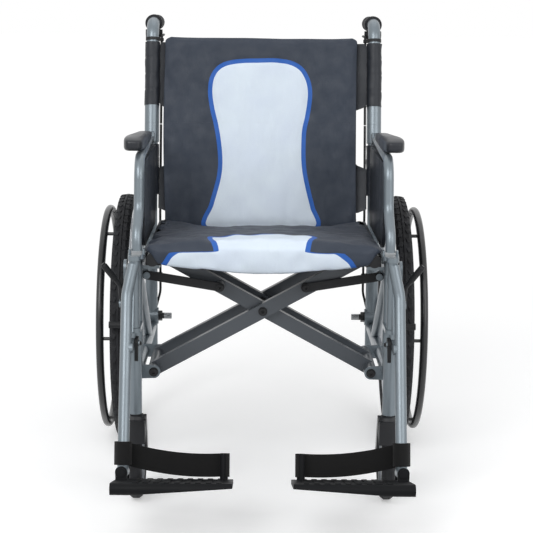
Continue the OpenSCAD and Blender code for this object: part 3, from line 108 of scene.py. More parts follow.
class Graph:
    """The node tree of a material or world, built by short calls."""

    def __init__(self, owner: bpy.types.ID, shader: str = "ShaderNodeBsdfPrincipled",
                 output: str = "ShaderNodeOutputMaterial") -> None:
        """Clears the tree and adds its shader and output.

        Args:
            owner: The new material or world.
            shader: The type name of its shader.
            output: The type name of its output.
        """
        owner.use_nodes = True
        self.owner = owner
        self.tree = owner.node_tree
        self.tree.nodes.clear()
        self.shader = self.node(shader)
        self.link(self.shader.outputs[0], self.node(output).inputs["Surface"])

    def node(self, kind: str, **settings: object) -> bpy.types.Node:
        """Adds a node.

        Args:
            kind: The node's type name.
            **settings: Attributes of the node, or socket values by input name.

        Returns:
            The new node.
        """
        made = self.tree.nodes.new(kind)
        for key, value in settings.items():
            if hasattr(made, key):
                setattr(made, key, value)
            else:
                made.inputs[key.replace("_", " ")].default_value = value
        return made

    def link(self, out: bpy.types.NodeSocket, into: bpy.types.NodeSocket) -> None:
        """Joins two sockets."""
        self.tree.links.new(out, into)

    def place(self) -> bpy.types.NodeSocket:
        """The object coordinates, which stay with the surface."""
        return self.node("ShaderNodeTexCoord").outputs["Object"]

    def grain(self, scale: float, detail: float = 2.0, stretch: Point = (1, 1, 1)) -> bpy.types.NodeSocket:
        """Adds a noise on object coordinates.

        Args:
            scale: Cells in a metre.
            detail: Octaves of finer noise.
            stretch: Factors along X, Y and Z before the noise is read.

        Returns:
            The noise's value.
        """
        mapping = self.node("ShaderNodeMapping", Scale=stretch)
        self.link(self.place(), mapping.inputs["Vector"])
        made = self.node("ShaderNodeTexNoise", Scale=scale, Detail=detail)
        self.link(mapping.outputs["Vector"], made.inputs["Vector"])
        return made.outputs["Fac"]

    def spread(self, value: bpy.types.NodeSocket, low: float, high: float) -> bpy.types.NodeSocket:
        """Maps a noise from its middle half to a range.

        Args:
            value: The socket that is read.
            low: The result where the noise is low.
            high: The result where the noise is high.

        Returns:
            The mapped value.
        """
        made = self.node("ShaderNodeMapRange", From_Min=0.3, From_Max=0.7, To_Min=low, To_Max=high)
        self.link(value, made.inputs["Value"])
        return made.outputs["Result"]

    def tint(self, factor: bpy.types.NodeSocket, a: Colour, b: Colour) -> bpy.types.NodeSocket:
        """Mixes two colours by a socket.

        Args:
            factor: 0 for a and 1 for b.
            a: First colour.
            b: Second colour.

        Returns:
            The mixed colour.
        """
        made = self.node("ShaderNodeMix", data_type="RGBA")
        made.inputs[6].default_value = (*a, 1)
        made.inputs[7].default_value = (*b, 1)
        self.link(factor, made.inputs[0])
        return made.outputs[2]

    def merge(self, factor: bpy.types.NodeSocket, a: bpy.types.NodeSocket,
              b: bpy.types.NodeSocket) -> bpy.types.NodeSocket:
        """Mixes two linked colours by a socket."""
        made = self.node("ShaderNodeMix", data_type="RGBA")
        self.link(factor, made.inputs[0])
        self.link(a, made.inputs[6])
        self.link(b, made.inputs[7])
        return made.outputs[2]

    def math(self, what: str, a: bpy.types.NodeSocket, b: object = 0.0) -> bpy.types.NodeSocket:
        """Adds a math node on one socket and a number or second socket."""
        made = self.node("ShaderNodeMath", operation=what)
        self.link(a, made.inputs[0])
        if isinstance(b, bpy.types.NodeSocket):
            self.link(b, made.inputs[1])
        else:
            made.inputs[1].default_value = b
        return made.outputs[0]

    def seen(self) -> bpy.types.NodeSocket:
        """1 on a ray that shows the surface, and 0 on a ray that only takes its light."""
        path = self.node("ShaderNodeLightPath").outputs
        shown = self.math("MAXIMUM", path["Is Camera Ray"], path["Is Glossy Ray"])
        return self.math("MAXIMUM", shown, path["Is Transmission Ray"])

    def worn(self, colour: Colour, fine: bpy.types.NodeSocket, slow: bpy.types.NodeSocket,
             bright: float) -> bpy.types.NodeSocket:
        """A colour with fine variation, darker where a slow noise is high.

        Args:
            colour: The middle colour.
            fine: The fine variation, 0 to 1.
            slow: The slow noise, 0 to 1.
            bright: The lightest factor on the colour.

        Returns:
            The varied colour.
        """
        return self.merge(slow, self.tint(fine, shaded(colour, 0.86), shaded(colour, bright)),
                          self.tint(fine, shaded(colour, 0.78), shaded(colour, 1.04)))

    def crossed(self, place: bpy.types.NodeSocket, scales: dict[str, float],
                **wave: float) -> bpy.types.NodeSocket:
        """The mean of two wave textures across each other.

        Args:
            place: The coordinates that they read.
            scales: Each one's scale by its axis.
            **wave: Further input values of both.

        Returns:
            The mean, 0 to 1.
        """
        pair = []
        for axis, scale in scales.items():
            made = self.node("ShaderNodeTexWave", bands_direction=axis, Scale=scale, **wave)
            self.link(place, made.inputs["Vector"])
            pair.append(made.outputs["Fac"])
        return self.math("MULTIPLY", self.math("ADD", *pair), 0.5)

    def bump(self, height: bpy.types.NodeSocket, distance: float, strength: float = 1.0,
             under: Optional[bpy.types.NodeSocket] = None) -> bpy.types.NodeSocket:
        """Adds a bump.

        Args:
            height: The height, 0 to 1.
            distance: The height's size in metres.
            strength: How much of it shows.
            under: The normal of a coarser bump below it.

        Returns:
            The bent normal.
        """
        made = self.node("ShaderNodeBump", Strength=strength, Distance=distance)
        self.link(height, made.inputs["Height"])
        if under is not None:
            self.link(under, made.inputs["Normal"])
        return made.outputs["Normal"]

    def finish(self, **sockets: object) -> bpy.types.Material:
        """Sets or links the shader's inputs.

        Args:
            **sockets: Values or sockets by the shader's input name.

        Returns:
            The finished material.
        """
        for key, value in sockets.items():
            into = self.shader.inputs[key.replace("_", " ")]
            if isinstance(value, bpy.types.NodeSocket):
                self.link(value, into)
            else:
                into.default_value = (*value, 1) if isinstance(value, tuple) and len(value) == 3 else value
        return self.owner


@dataclass(frozen=True)
class Finish:
    """What every finish has: a name and a colour."""

    name: str
    colour: Colour

    def material(self) -> bpy.types.Material:
        """The finish's material, made on first use."""
        made = bpy.data.materials.get(self.name)
        return made or self.build(Graph(bpy.data.materials.new(self.name)))

    def build(self, g: Graph) -> bpy.types.Material:
        """Fills the node tree; each kind of finish has its own."""
        raise NotImplementedError

    def shade(self, factor: float) -> Colour:
        """The colour made darker or lighter."""
        return shaded(self.colour, factor)


@dataclass(frozen=True)
class PaintedMetal(Finish):
    """Metallic lacquer: fine flakes under a clear coat, darker where a slow noise is high."""

    metallic: float = 0.55
    roughness: float = 0.36

    def build(self, g: Graph) -> bpy.types.Material:
        """Flakes vary the colour; a broad noise varies the gloss."""
        base = g.worn(self.colour, g.grain(2600, 1), g.spread(g.grain(9, 3), 0.0, 1.0), 1.14)
        peel = g.bump(g.grain(420, 2), 0.00006, 0.5)
        return g.finish(Base_Color=base, Metallic=self.metallic, Normal=peel,
                        Roughness=g.spread(g.grain(30, 4), self.roughness - 0.05, self.roughness + 0.07),
                        Coat_Weight=0.25, Coat_Roughness=0.18)


@dataclass(frozen=True)
class BareMetal(Finish):
    """Turned or drawn metal with fine lines along one way."""

    roughness: float = 0.28
    lines: Point = (1, 1, 14)

    def build(self, g: Graph) -> bpy.types.Material:
        """Fine stretched noise gives the lines."""
        drawn = g.grain(700, 2, self.lines)
        return g.finish(Base_Color=g.tint(drawn, self.shade(0.82), self.shade(1.08)), Metallic=1.0,
                        Roughness=g.spread(drawn, self.roughness - 0.06, self.roughness + 0.12),
                        Normal=g.bump(drawn, 0.00003, 0.6))


@dataclass(frozen=True)
class TippedBolt(Finish):
    """Blackened steel whose inner end is bright."""

    bright: Colour = (0.5, 0.5, 0.5)
    tip_x: float = 0.2035

    def build(self, g: Graph) -> bpy.types.Material:
        """The distance from the chair's middle plane picks black or bright."""
        apart = g.node("ShaderNodeSeparateXYZ")
        g.link(g.place(), apart.inputs["Vector"])
        tip = g.math("LESS_THAN", g.math("ABSOLUTE", apart.outputs["X"]), self.tip_x)
        turned = g.grain(700, 2, (14, 1, 1))
        black = g.tint(turned, self.shade(0.8), self.shade(1.3))
        return g.finish(Base_Color=g.merge(tip, black, g.tint(turned, self.bright, self.colour)),
                        Metallic=g.math("MULTIPLY", tip, 0.95),
                        Roughness=g.spread(turned, 0.3, 0.46), Normal=g.bump(turned, 0.00003, 0.5))


@dataclass(frozen=True)
class MouldedPlastic(Finish):
    """Moulded plastic with a spark-eroded grain."""

    roughness: float = 0.5
    grain_scale: float = 1400
    gloss: float = 0.3

    def build(self, g: Graph) -> bpy.types.Material:
        """Fine grain for the bump and broad noise for handling marks."""
        marks = g.spread(g.grain(22, 4), 0.0, 1.0)
        return g.finish(Base_Color=g.tint(marks, self.colour, self.shade(1.35)),
                        Roughness=g.spread(g.grain(16, 5), self.roughness - 0.07, self.roughness + 0.1),
                        Normal=g.bump(g.grain(self.grain_scale, 3), 0.00012, 0.55),
                        Specular_IOR_Level=self.gloss)


@dataclass(frozen=True)
class Rubber(Finish):
    """Matt rubber, paler where it is scuffed."""

    def build(self, g: Graph) -> bpy.types.Material:
        """Two noises: scuffs in the colour and pores in the bump."""
        scuffs = g.spread(g.grain(55, 5), 0.0, 1.0)
        return g.finish(Base_Color=g.tint(scuffs, self.shade(0.8), self.shade(1.7)),
                        Roughness=g.spread(g.grain(80, 3), 0.62, 0.85),
                        Normal=g.bump(g.grain(2400, 2), 0.00015, 0.7), Specular_IOR_Level=0.35)


# A wave texture at a scale of 1 has this many bands in a metre
BANDS_PER_SCALE = 3.18


class Weave(Enum):
    """How the threads of a cloth cross; the value is threads in a metre."""

    NYLON = 2200
    OXFORD = 1300
    WEBBING = 620


@dataclass(frozen=True)
class Cloth(Finish):
    """Woven cloth whose threads follow X and the way along the leaning back."""

    weave: Weave = Weave.NYLON
    roughness: float = 0.62
    sheen: float = 0.07

    def threads(self, g: Graph) -> bpy.types.NodeSocket:
        """The height of the crossing threads, 0 to 1."""
        turned = g.node("ShaderNodeMapping", Rotation=(0.4, 0, 0))
        g.link(g.place(), turned.inputs["Vector"])
        scale = self.weave.value / BANDS_PER_SCALE
        return g.crossed(turned.outputs["Vector"], {"X": scale, "Z": scale},
                         Distortion=0.6, Detail=1.0, Detail_Scale=2.0)

    def shades(self, g: Graph, colour: Colour, threads: bpy.types.NodeSocket) -> bpy.types.NodeSocket:
        """The cloth's colour: threads, and slow variation from handling."""
        return g.worn(colour, threads, g.spread(g.grain(14, 4), 0.0, 1.0), 1.12)

    def folds(self, g: Graph) -> bpy.types.NodeSocket:
        """Small creases in the cloth."""
        return g.bump(g.grain(26, 4, (1.0, 1.0, 0.5)), 0.004, 0.55)

    def build(self, g: Graph) -> bpy.types.Material:
        """Threads over small folds, with sheen."""
        threads = self.threads(g)
        return g.finish(Base_Color=self.shades(g, self.colour, threads),
                        Roughness=g.spread(g.grain(40, 3), self.roughness - 0.08, self.roughness + 0.1),
                        Normal=g.bump(threads, 0.0001, 0.6, self.folds(g)),
                        Sheen_Weight=self.sheen, Sheen_Roughness=0.4, Specular_IOR_Level=0.35)


@dataclass(frozen=True)
class PanelCloth(Cloth):
    """Nylon with a sewn-in panel and its binding, by the seam distance kept in the mesh."""

    panel: Colour = (0.8, 0.85, 0.9)
    binding: Colour = (0.02, 0.1, 0.5)
    binding_half: float = 0.0045

    def build(self, g: Graph) -> bpy.types.Material:
        """The attribute seam is metres outside the panel's edge, and negative inside it."""
        seam = g.node("ShaderNodeAttribute", attribute_name="seam").outputs["Fac"]
        threads = self.threads(g)
        inside = g.math("LESS_THAN", seam, 0.0)
        edge = g.math("LESS_THAN", g.math("ABSOLUTE", seam), self.binding_half)
        cloth = g.merge(inside, self.shades(g, self.colour, threads), self.shades(g, self.panel, threads))
        bound = g.merge(edge, cloth, self.shades(g, self.binding, threads))
        stitch_line = g.math("LESS_THAN", g.math("ABSOLUTE", g.math("SUBTRACT", g.math("ABSOLUTE", seam),
                                                                      self.binding_half * 0.7)), 0.0005)
        sewn = g.math("MULTIPLY", stitch_line, g.math("GREATER_THAN", g.grain(300, 0), 0.48))
        normal = g.bump(g.math("SUBTRACT", threads, sewn), 0.00012, 0.6, self.folds(g))
        return g.finish(Base_Color=bound, Normal=normal,
                        Roughness=g.spread(g.grain(40, 3), self.roughness - 0.12, self.roughness + 0.1),
                        Sheen_Weight=self.sheen, Sheen_Roughness=0.4, Specular_IOR_Level=0.4)


@dataclass(frozen=True)
class Webbing(Cloth):
    """Flat webbing with ribs along its length, by the mesh's own UV map."""

    def build(self, g: Graph) -> bpy.types.Material:
        """Ribs from the UV map's V, and cross threads from its U."""
        flat = g.node("ShaderNodeUVMap").outputs["UV"]
        ribs = g.crossed(flat, {"Y": 18.0, "X": 60.0}, Distortion=0.3)
        return g.finish(Base_Color=self.shades(g, self.colour, ribs), Roughness=0.75,
                        Normal=g.bump(ribs, 0.0004, 0.7, g.bump(g.grain(30, 2), 0.002, 0.4)),
                        Sheen_Weight=0.05, Sheen_Roughness=0.5, Specular_IOR_Level=0.25)


@dataclass(frozen=True)
class Palette:
    """The chair's finishes."""

    frame: Finish = PaintedMetal("frame_lacquer", linear("7a848b"))
    cross: Finish = PaintedMetal("cross_lacquer", linear("4a4f55"), 0.35, 0.4)
    fork: Finish = PaintedMetal("fork_lacquer", linear("222326"), 0.2, 0.42)
    steel: Finish = BareMetal("zinc_steel", linear("c3c6c9"))
    black_steel: Finish = PaintedMetal("black_oxide", linear("1b1c1e"), 0.3, 0.36)
    axle: Finish = TippedBolt("axle_bolt", linear("18191b"), linear("c3c6c9"))
    alloy: Finish = BareMetal("wheel_alloy", linear("b9bcc0"), 0.34)
    plastic: Finish = MouldedPlastic("black_plastic", linear("1c1d1f"))
    arm: Finish = MouldedPlastic("arm_pad_foam", linear("1d2026"), 0.36, 900, 0.4)
    grip: Finish = MouldedPlastic("grip_rubber", linear("1d1e21"), 0.6, 700)
    foot: Finish = MouldedPlastic("foot_plate_plastic", linear("0f1012"), 0.5, 1100, 0.12)
    guard: Finish = MouldedPlastic("guard_plastic", linear("13151a"), 0.42, 1000, 0.25)
    push_rim: Finish = PaintedMetal("push_rim_lacquer", linear("17181a"), 0.0, 0.34)
    tyre: Finish = Rubber("tyre_rubber", linear("191a1d"))
    nylon: Finish = PanelCloth("pad_nylon", linear("303845"), panel=linear("e0ecfc"),
                               binding=linear("2a62b8"))
    sling: Finish = Cloth("sling_oxford", linear("22262d"), Weave.OXFORD, 0.42, 0.05)
    strap: Finish = Webbing("heel_webbing", linear("060607"), Weave.WEBBING)


PALETTE = Palette()


def only(*objects: bpy.types.Object) -> None:
    """Selects these objects alone; the last one is active."""
    if bpy.context.object and bpy.context.object.mode != "OBJECT":
        bpy.ops.object.mode_set(mode="OBJECT")
    bpy.ops.object.select_all(action="DESELECT")
    for obj in objects:
        obj.select_set(True)
    if objects:
        bpy.context.view_layer.objects.active = objects[-1]


def settle(obj: bpy.types.Object, name: str) -> bpy.types.Object:
    """Names a piece and puts its place into its mesh.

    Args:
        obj: The new piece.
        name: Its name in the table.

    Returns:
        The same piece.
    """
    obj.name = name
    obj.data.name = name
    only(obj)
    bpy.ops.object.transform_apply(location=True, rotation=True, scale=True)
    return obj


@contextmanager
def editing(whole: bool = True) -> Iterator[None]:
    """Edit mode on the active piece, until the block under it ends.

    Args:
        whole: True to select the whole mesh first.
    """
    bpy.ops.object.mode_set(mode="EDIT")
    if whole:
        bpy.ops.mesh.select_all(action="SELECT")
    yield
    bpy.ops.object.mode_set(mode="OBJECT")


def add_modifier(obj: bpy.types.Object, kind: str, **settings: object) -> None:
    """Adds a modifier and applies it.

    Args:
        obj: The piece.
        kind: The modifier's type.
        **settings: Its attributes.
    """
    made = obj.modifiers.new(kind.lower(), kind)
    for key, value in settings.items():
        setattr(made, key, value)
    only(obj)
    bpy.ops.object.modifier_apply(modifier=made.name)


def join(parts: Sequence[bpy.types.Object], name: str) -> bpy.types.Object:
    """Joins pieces of one make into one object, keeping their materials."""
    only(*parts)
    bpy.ops.object.join()
    return settle(bpy.context.object, name)


def grid(name: str, size: tuple[float, float], centre: Point, cells: tuple[int, int],
         upright: bool = False) -> bpy.types.Object:
    """An even grid, flat or upright.

    Args:
        name: The piece's name.
        size: Its width and length, or height if upright.
        centre: Its middle.
        cells: Cells along each way.
        upright: True for a grid across Y.

    Returns:
        The new grid.
    """
    only()
    bpy.ops.mesh.primitive_grid_add(x_subdivisions=cells[0], y_subdivisions=cells[1], size=1,
                                    location=centre, rotation=(math.pi / 2 if upright else 0, 0, 0))
    piece = bpy.context.object
    piece.scale = (*size, 1)
    return settle(piece, name)


def outward(obj: bpy.types.Object, merge: float = 1e-6) -> None:
    """Merges doubles and turns all faces outwards."""
    only(obj)
    with editing():
        bpy.ops.mesh.remove_doubles(threshold=merge)
        bpy.ops.mesh.normals_make_consistent(inside=False)


def smooth(obj: bpy.types.Object, angle: float = 40.0) -> None:
    """Shades a piece smooth up to an angle in degrees."""
    only(obj)
    bpy.ops.object.shade_smooth_by_angle(angle=math.radians(angle))


def dress(obj: bpy.types.Object, *finishes: Finish) -> None:
    """Gives a piece its materials, in the order of its faces' indices."""
    obj.data.materials.clear()
    for finish in finishes:
        obj.data.materials.append(finish.material())


def places(obj: bpy.types.Object) -> np.ndarray:
    """The mesh's vertices as rows."""
    co = np.empty(len(obj.data.vertices) * 3)
    obj.data.vertices.foreach_get("co", co)
    return co.reshape(-1, 3)


def put(obj: bpy.types.Object, co: np.ndarray) -> None:
    """Writes the mesh's vertices back."""
    obj.data.vertices.foreach_set("co", co.ravel())
    obj.data.update()


def normals(obj: bpy.types.Object) -> np.ndarray:
    """The mesh's vertex normals as rows."""
    out = np.empty(len(obj.data.vertices) * 3)
    obj.data.vertex_normals.foreach_get("vector", out)
    return out.reshape(-1, 3)


def closed_spline(points: Sequence[tuple[float, float]], steps: int = 10) -> np.ndarray:
    """A smooth closed line through points.

    Args:
        points: Corner points in order.
        steps: Pieces between two points.

    Returns:
        Rows of the line's points.
    """
    p = np.array(points)
    n = len(p)
    out = []
    for i in range(n):
        a, b, c, d = p[i - 1], p[i], p[(i + 1) % n], p[(i + 2) % n]
        for k in range(steps):
            t = k / steps
            out.append(0.5 * (2 * b + (c - a) * t + (2 * a - 5 * b + 4 * c - d) * t * t
                              + (3 * b - a - 3 * c + d) * t ** 3))
    return np.array(out)


def seam_distance(where: np.ndarray, line: np.ndarray) -> np.ndarray:
    """Distance from points to a closed line, negative inside it.

    Args:
        where: Rows of 2-D points.
        line: Rows of the closed line's points.

    Returns:
        One signed distance for each point.
    """
    best = np.full(len(where), 1e9)
    inside = np.zeros(len(where), bool)
    for a, b in zip(line, np.roll(line, -1, axis=0)):
        ab = b - a
        t = np.clip(((where - a) @ ab) / max(ab @ ab, 1e-12), 0, 1)
        best = np.minimum(best, np.hypot(*(where - a - t[:, None] * ab).T))
        crosses = (a[1] > where[:, 1]) != (b[1] > where[:, 1])
        with np.errstate(divide="ignore", invalid="ignore"):
            x = a[0] + (where[:, 1] - a[1]) * ab[0] / ab[1]
        inside ^= crosses & (where[:, 0] < x)
    return np.where(inside, -best, best)


def sewn_line(seam: np.ndarray, sunk: float, raised: float) -> np.ndarray:
    """The section of a sewn binding: a shallow trough with the binding's band in it.

    Args:
        seam: Each vertex's distance from the panel's edge.
        sunk: The trough's depth.
        raised: The band's height.

    Returns:
        One rise for each vertex.
    """
    return raised * np.exp(-(seam / BAND_HALF) ** 4) - sunk * np.exp(-(seam / TROUGH_HALF) ** 2)


def set_seam(obj: bpy.types.Object, values: np.ndarray) -> None:
    """Keeps each vertex's distance from the panel's edge in the mesh."""
    made = obj.data.attributes.get("seam") or obj.data.attributes.new("seam", "FLOAT", "POINT")
    made.data.foreach_set("value", values.astype(np.float32))


@dataclass(frozen=True)
class Folds:
    """Smooth noise for folds in cloth: cells in a metre along X, Y and Z, largest rise and shift."""

    scale: Point
    height: float
    shift: float

    def over(self, co: np.ndarray) -> np.ndarray:
        """The folds' height at each row of points."""
        x, y, z = self.scale
        return np.array([self.height * noise.noise(Vector((p[0] * x + self.shift, p[1] * y, p[2] * z)))
                         for p in co])


def slab(name: str, size: Point, centre: Point, corner: float, voxel: float) -> bpy.types.Object:
    """A flat block of wadding with rounded upright corners, in an even mesh.

    Args:
        name: The piece's name.
        size: Width, thickness along Y and height.
        centre: Its middle.
        corner: Radius of its four corners.
        voxel: Size of its mesh.

    Returns:
        The new piece.
    """
    only()
    bpy.ops.mesh.primitive_cube_add(size=1, location=centre, scale=size)
    piece = settle(bpy.context.object, name)
    with editing(whole=False):
        mesh = bmesh.from_edit_mesh(piece.data)
        for edge in mesh.edges:
            a, b = (v.co for v in edge.verts)
            edge.select_set(abs(a.x - b.x) < 1e-6 and abs(a.z - b.z) < 1e-6)
        bmesh.update_edit_mesh(piece.data)
        bpy.ops.mesh.bevel(offset=corner, segments=5, affect="EDGES")
    add_modifier(piece, "REMESH", mode="VOXEL", voxel_size=voxel)
    return piece


def inflate(piece: bpy.types.Object, pressure: float, cap: float, frames: int = 20) -> None:
    """Swells a closed block as stuffed cloth swells, and keeps the result.

    Args:
        piece: The block, in an even mesh.
        pressure: The cloth's inner pressure.
        cap: The furthest that a point may move, in metres.
        frames: Steps of the simulation.
    """
    start = places(piece)
    cloth = piece.modifiers.new("cloth", "CLOTH")
    cloth.settings.use_pressure = True
    cloth.settings.uniform_pressure_force = pressure
    cloth.settings.effector_weights.gravity = 0
    cloth.settings.quality = 4
    cloth.settings.tension_stiffness = 25
    cloth.settings.compression_stiffness = 25
    cloth.settings.bending_stiffness = 1.5
    cloth.collision_settings.use_collision = False
    cloth.point_cache.frame_start = 1
    cloth.point_cache.frame_end = frames
    scene = bpy.context.scene
    for step in range(1, frames + 1):
        scene.frame_set(step)
    only(piece)
    bpy.ops.object.modifier_apply(modifier=cloth.name)
    scene.frame_set(1)
    move = places(piece) - start
    length = np.linalg.norm(move, axis=1, keepdims=True)
    put(piece, start + move * np.minimum(1.0, cap / np.maximum(length, 1e-9)))


def local_to_back(co: np.ndarray) -> np.ndarray:
    """Places given as X, rearward and along the canes, in the chair's frame."""
    m = np.array(BACK)
    return co @ m[:3, :3].T + m[:3, 3]


def strip(name: str, path: Sequence[Point], width: Vector, thick: float) -> bpy.types.Object:
    """A flat band extruded step by step along a path.

    Args:
        name: The piece's name.
        path: Points of its middle line.
        width: The band's width as a vector.
        thick: Its thickness.

    Returns:
        The new band, with U along it and V across it.
    """
    only()
    mesh = bpy.data.meshes.new(name)
    first = Vector(path[0])
    mesh.from_pydata([first - width / 2, first, first + width / 2], [(0, 1), (1, 2)], [])
    piece = bpy.data.objects.new(name, mesh)
    bpy.context.collection.objects.link(piece)
    only(piece)
    with editing():
        for a, b in zip(path, path[1:]):
            step = Vector(b) - Vector(a)
            bpy.ops.mesh.extrude_region_move(TRANSFORM_OT_translate={"value": step})
    uv = piece.data.uv_layers.new(name="flat")
    run = [0.0]
    for a, b in zip(path, path[1:]):
        run.append(run[-1] + (Vector(b) - Vector(a)).length)
    for loop in piece.data.loops:
        row, column = divmod(loop.vertex_index, 3)
        uv.data[loop.index].uv = (run[row] * 10, column * width.length * 5)
    add_modifier(piece, "SOLIDIFY", thickness=thick, offset=0.0)
    return piece


class FrameWork:
    """The carried-over metal and plastic nodes, each with its finish."""

    FINISHES: dict[str, str] = {
        "frame": "frame", "hanger": "frame", "arm_tube": "frame", "upper_cane": "frame",
        "cross_outer": "cross", "cross_inner": "cross", "fork": "fork",
        "axle": "axle", "pins": "black_steel",
        "attendant_lever": "steel", "tyre": "tyre", "caster_tyre": "tyre",
        "rim": "alloy", "caster_hub": "alloy", "push_rim": "push_rim",
        "arm_pad": "arm", "foot_plate": "foot", "side_guard": "guard", "push_grip": "grip",
    }

    def dress(self) -> None:
        """Gives every CAD node the finish of its longest matching name, or black plastic."""
        for name, node in frame["nodes"].items():
            fits = [k for k in self.FINISHES if name.startswith(k)]
            key = self.FINISHES[max(fits, key=len)] if fits else "plastic"
            finish: Finish = getattr(PALETTE, key)
            node.data.materials.clear()
            node.data.materials.append(finish.material())
            for polygon in node.data.polygons:
                polygon.material_index = 0
        log.info("dressed %d CAD nodes", len(frame["nodes"]))


@dataclass
class BackUpholstery:
    """The padded back in two halves that part at the fold, with its sling cloth and sleeves."""

    half_width: float = 0.2025
    low: float = -0.2175
    high: float = 0.1790
    left_reach: float = 0.2080
    right_reach: float = 0.1940
    front: float = -0.0215
    rear: float = -0.0010
    sag: float = 0.0130
    bow: float = 0.026
    corner: float = 0.011
    swell: float = 0.007
    seam_allowance: float = 0.006
    puffed: float = 0.0035
    puff_over: float = 0.018
    stitched_in: float = 0.0022
    bound_out: float = 0.0011
    faces_front: float = 0.15
    edge_fade: float = 0.02
    top_fade: float = 0.03
    broad: Folds = Folds((9, 2, 3.2), 0.0036, 3.0)
    fine: Folds = Folds((26, 2, 10), 0.0024, 11.0)
    small: Folds = Folds((48, 2, 26), 0.0010, 17.0)
    hem_folds: Folds = Folds((62, 2, 12), 0.0042, 5.0)
    side_folds: Folds = Folds((12, 2, 52), 0.0026, 8.0)
    top_folds: Folds = Folds((13, 0, 13), 0.0022, 21.0)
    sling_folds: Folds = Folds((14, 0, 30), 0.0010, 2.0)
    sleeve_folds: Folds = Folds((55, 55, 60), 0.0011, 4.0)
    sling_half: float = 0.1885
    tab_half: float = 0.2155
    sling_thick: float = 0.0022
    sling_sag: float = 0.014
    sling_behind: float = 0.0012
    sling_hem: float = 0.02
    sling_lift: float = 0.0006
    sling_inset: float = 0.0024
    tab_fade: float = 0.006
    sling_side: float = 0.03
    sleeve_r: float = 0.0156
    sleeve_thick: float = 0.0016
    sleeve_rings: int = 40
    stitch_lines: tuple[float, ...] = (0.25, 0.5, 0.75)
    stitch_deep: float = 0.0007
    stitch_wide: float = 0.0018
    end_rise: float = 0.0003
    end_fade: float = 0.004
    half_gap: float = 0.00005
    outline: list[tuple[float, float]] = field(default_factory=lambda: [
        (-0.0072, 0.1289), (0.0236, 0.1291), (0.0545, 0.1252), (0.0777, 0.1124), (0.0906, 0.0919),
        (0.0959, 0.0688), (0.0951, 0.0429), (0.0902, 0.0119), (0.0847, -0.0140), (0.0833, -0.0450),
        (0.0835, -0.0758), (0.0869, -0.1067), (0.0948, -0.1426), (0.1027, -0.1733), (0.1121, -0.2144),
        (0.0400, -0.2320), (-0.0400, -0.2320), (-0.1176, -0.2152), (-0.1052, -0.1699), (-0.0966, -0.1390),
        (-0.0902, -0.1131), (-0.0874, -0.0875), (-0.0882, -0.0617), (-0.0919, -0.0309), (-0.0977, 0.0000),
        (-0.1041, 0.0258), (-0.1084, 0.0514), (-0.1092, 0.0720), (-0.1057, 0.0927), (-0.0945, 0.1110),
        (-0.0741, 0.1229), (-0.0432, 0.1279)])

    def build(self) -> None:
        """Makes the pad, parts it at the fold, and makes the sling behind it."""
        whole = self.pad()
        for name, body, above, nodes in (("back_cushion_lower", "frame_right", False, "back_pad_lower"),
                                         ("back_cushion_upper", "upper_back_right", True, "back_pad_upper")):
            half = self.half(whole, name, above)
            self.hold(half, body, nodes, "cloth_slate")
        bpy.data.objects.remove(whole)
        self.sling("back_sling_cloth_lower", "frame_right", "back_sling_lower", (-0.182, -0.0006),
                   (-0.178, -0.088), (-0.146, -0.043))
        self.sling("back_sling_cloth_upper", "upper_back_right", "back_sling_upper", (0.0010, 0.170),
                   (0.038, 0.169), (0.038, 0.169))

    def hold(self, piece: bpy.types.Object, body: str, node: str, slot: str) -> None:
        """Rides a piece on its body with a mesh of its own, and hides the CAD node that it stands for."""
        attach(piece, body)
        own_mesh(piece)
        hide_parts(node)
        log.info("%s rides on %s", piece.name, body)

    def pad(self) -> bpy.types.Object:
        """The whole pad: swollen wadding, its sewn panel and its folds."""
        width, height = 2 * self.half_width, self.high - self.low
        thick = self.rear - self.front
        mid = ((self.front + self.rear) / 2, (self.high + self.low) / 2)
        trim = self.seam_allowance
        size = (width - trim, thick - self.swell - 0.001, height - trim)
        piece = slab("pad", size, (0, *mid), self.corner, PAD_MESH)
        inflate(piece, PAD_PRESSURE, self.swell)
        add_modifier(piece, "SUBSURF", levels=1, render_levels=1)
        co = self.spread(places(piece))
        facing = np.clip(-normals(piece)[:, 1], 0, 1)
        seam = seam_distance(co[:, [0, 2]], closed_spline(self.outline))
        on_panel = (facing > self.faces_front) & (co[:, 1] < mid[0])
        seam = np.where(on_panel, seam, np.maximum(seam, OFF_PANEL))
        share = np.clip((co[:, 1] - self.front) / thick, 0, 1)
        across = 1 - (co[:, 0] / self.half_width) ** 2
        co[:, 1] += self.sag * share * np.clip(across, 0, 1)
        puff = self.puffed * (1 - np.exp(np.minimum(seam, 0) / self.puff_over))
        puff += sewn_line(seam, self.stitched_in, self.bound_out)
        folds = self.broad.over(co) + self.fine.over(co) + self.small.over(co)
        hem = np.exp(-np.abs(co[:, 2] - self.low) / self.edge_fade) * self.hem_folds.over(co)
        from_side = self.half_width - np.abs(co[:, 0])
        side = np.exp(-from_side / self.edge_fade) * self.side_folds.over(co)
        co[:, 1] -= facing * (puff + folds + hem + side)
        near_top = np.clip((co[:, 2] - self.high + self.top_fade) / self.top_fade, 0, 1)
        co[:, 2] += self.top_folds.over(co) * near_top
        put(piece, local_to_back(co))
        set_seam(piece, seam)
        dress(piece, PALETTE.nylon)
        smooth(piece, 60)
        return piece

    def spread(self, co: np.ndarray) -> np.ndarray:
        """Stretches the swollen block to the pad's own reach up, down and to each side."""
        least, most = co.min(axis=0), co.max(axis=0)
        co[:, 2] = self.low + (co[:, 2] - least[2]) * (self.high - self.low) / (most[2] - least[2])
        bow = 1 - self.bow * (co[:, 2] / self.high) ** 2
        co[:, 0] *= np.where(co[:, 0] < 0, self.left_reach * bow / -least[0], self.right_reach / most[0])
        return co

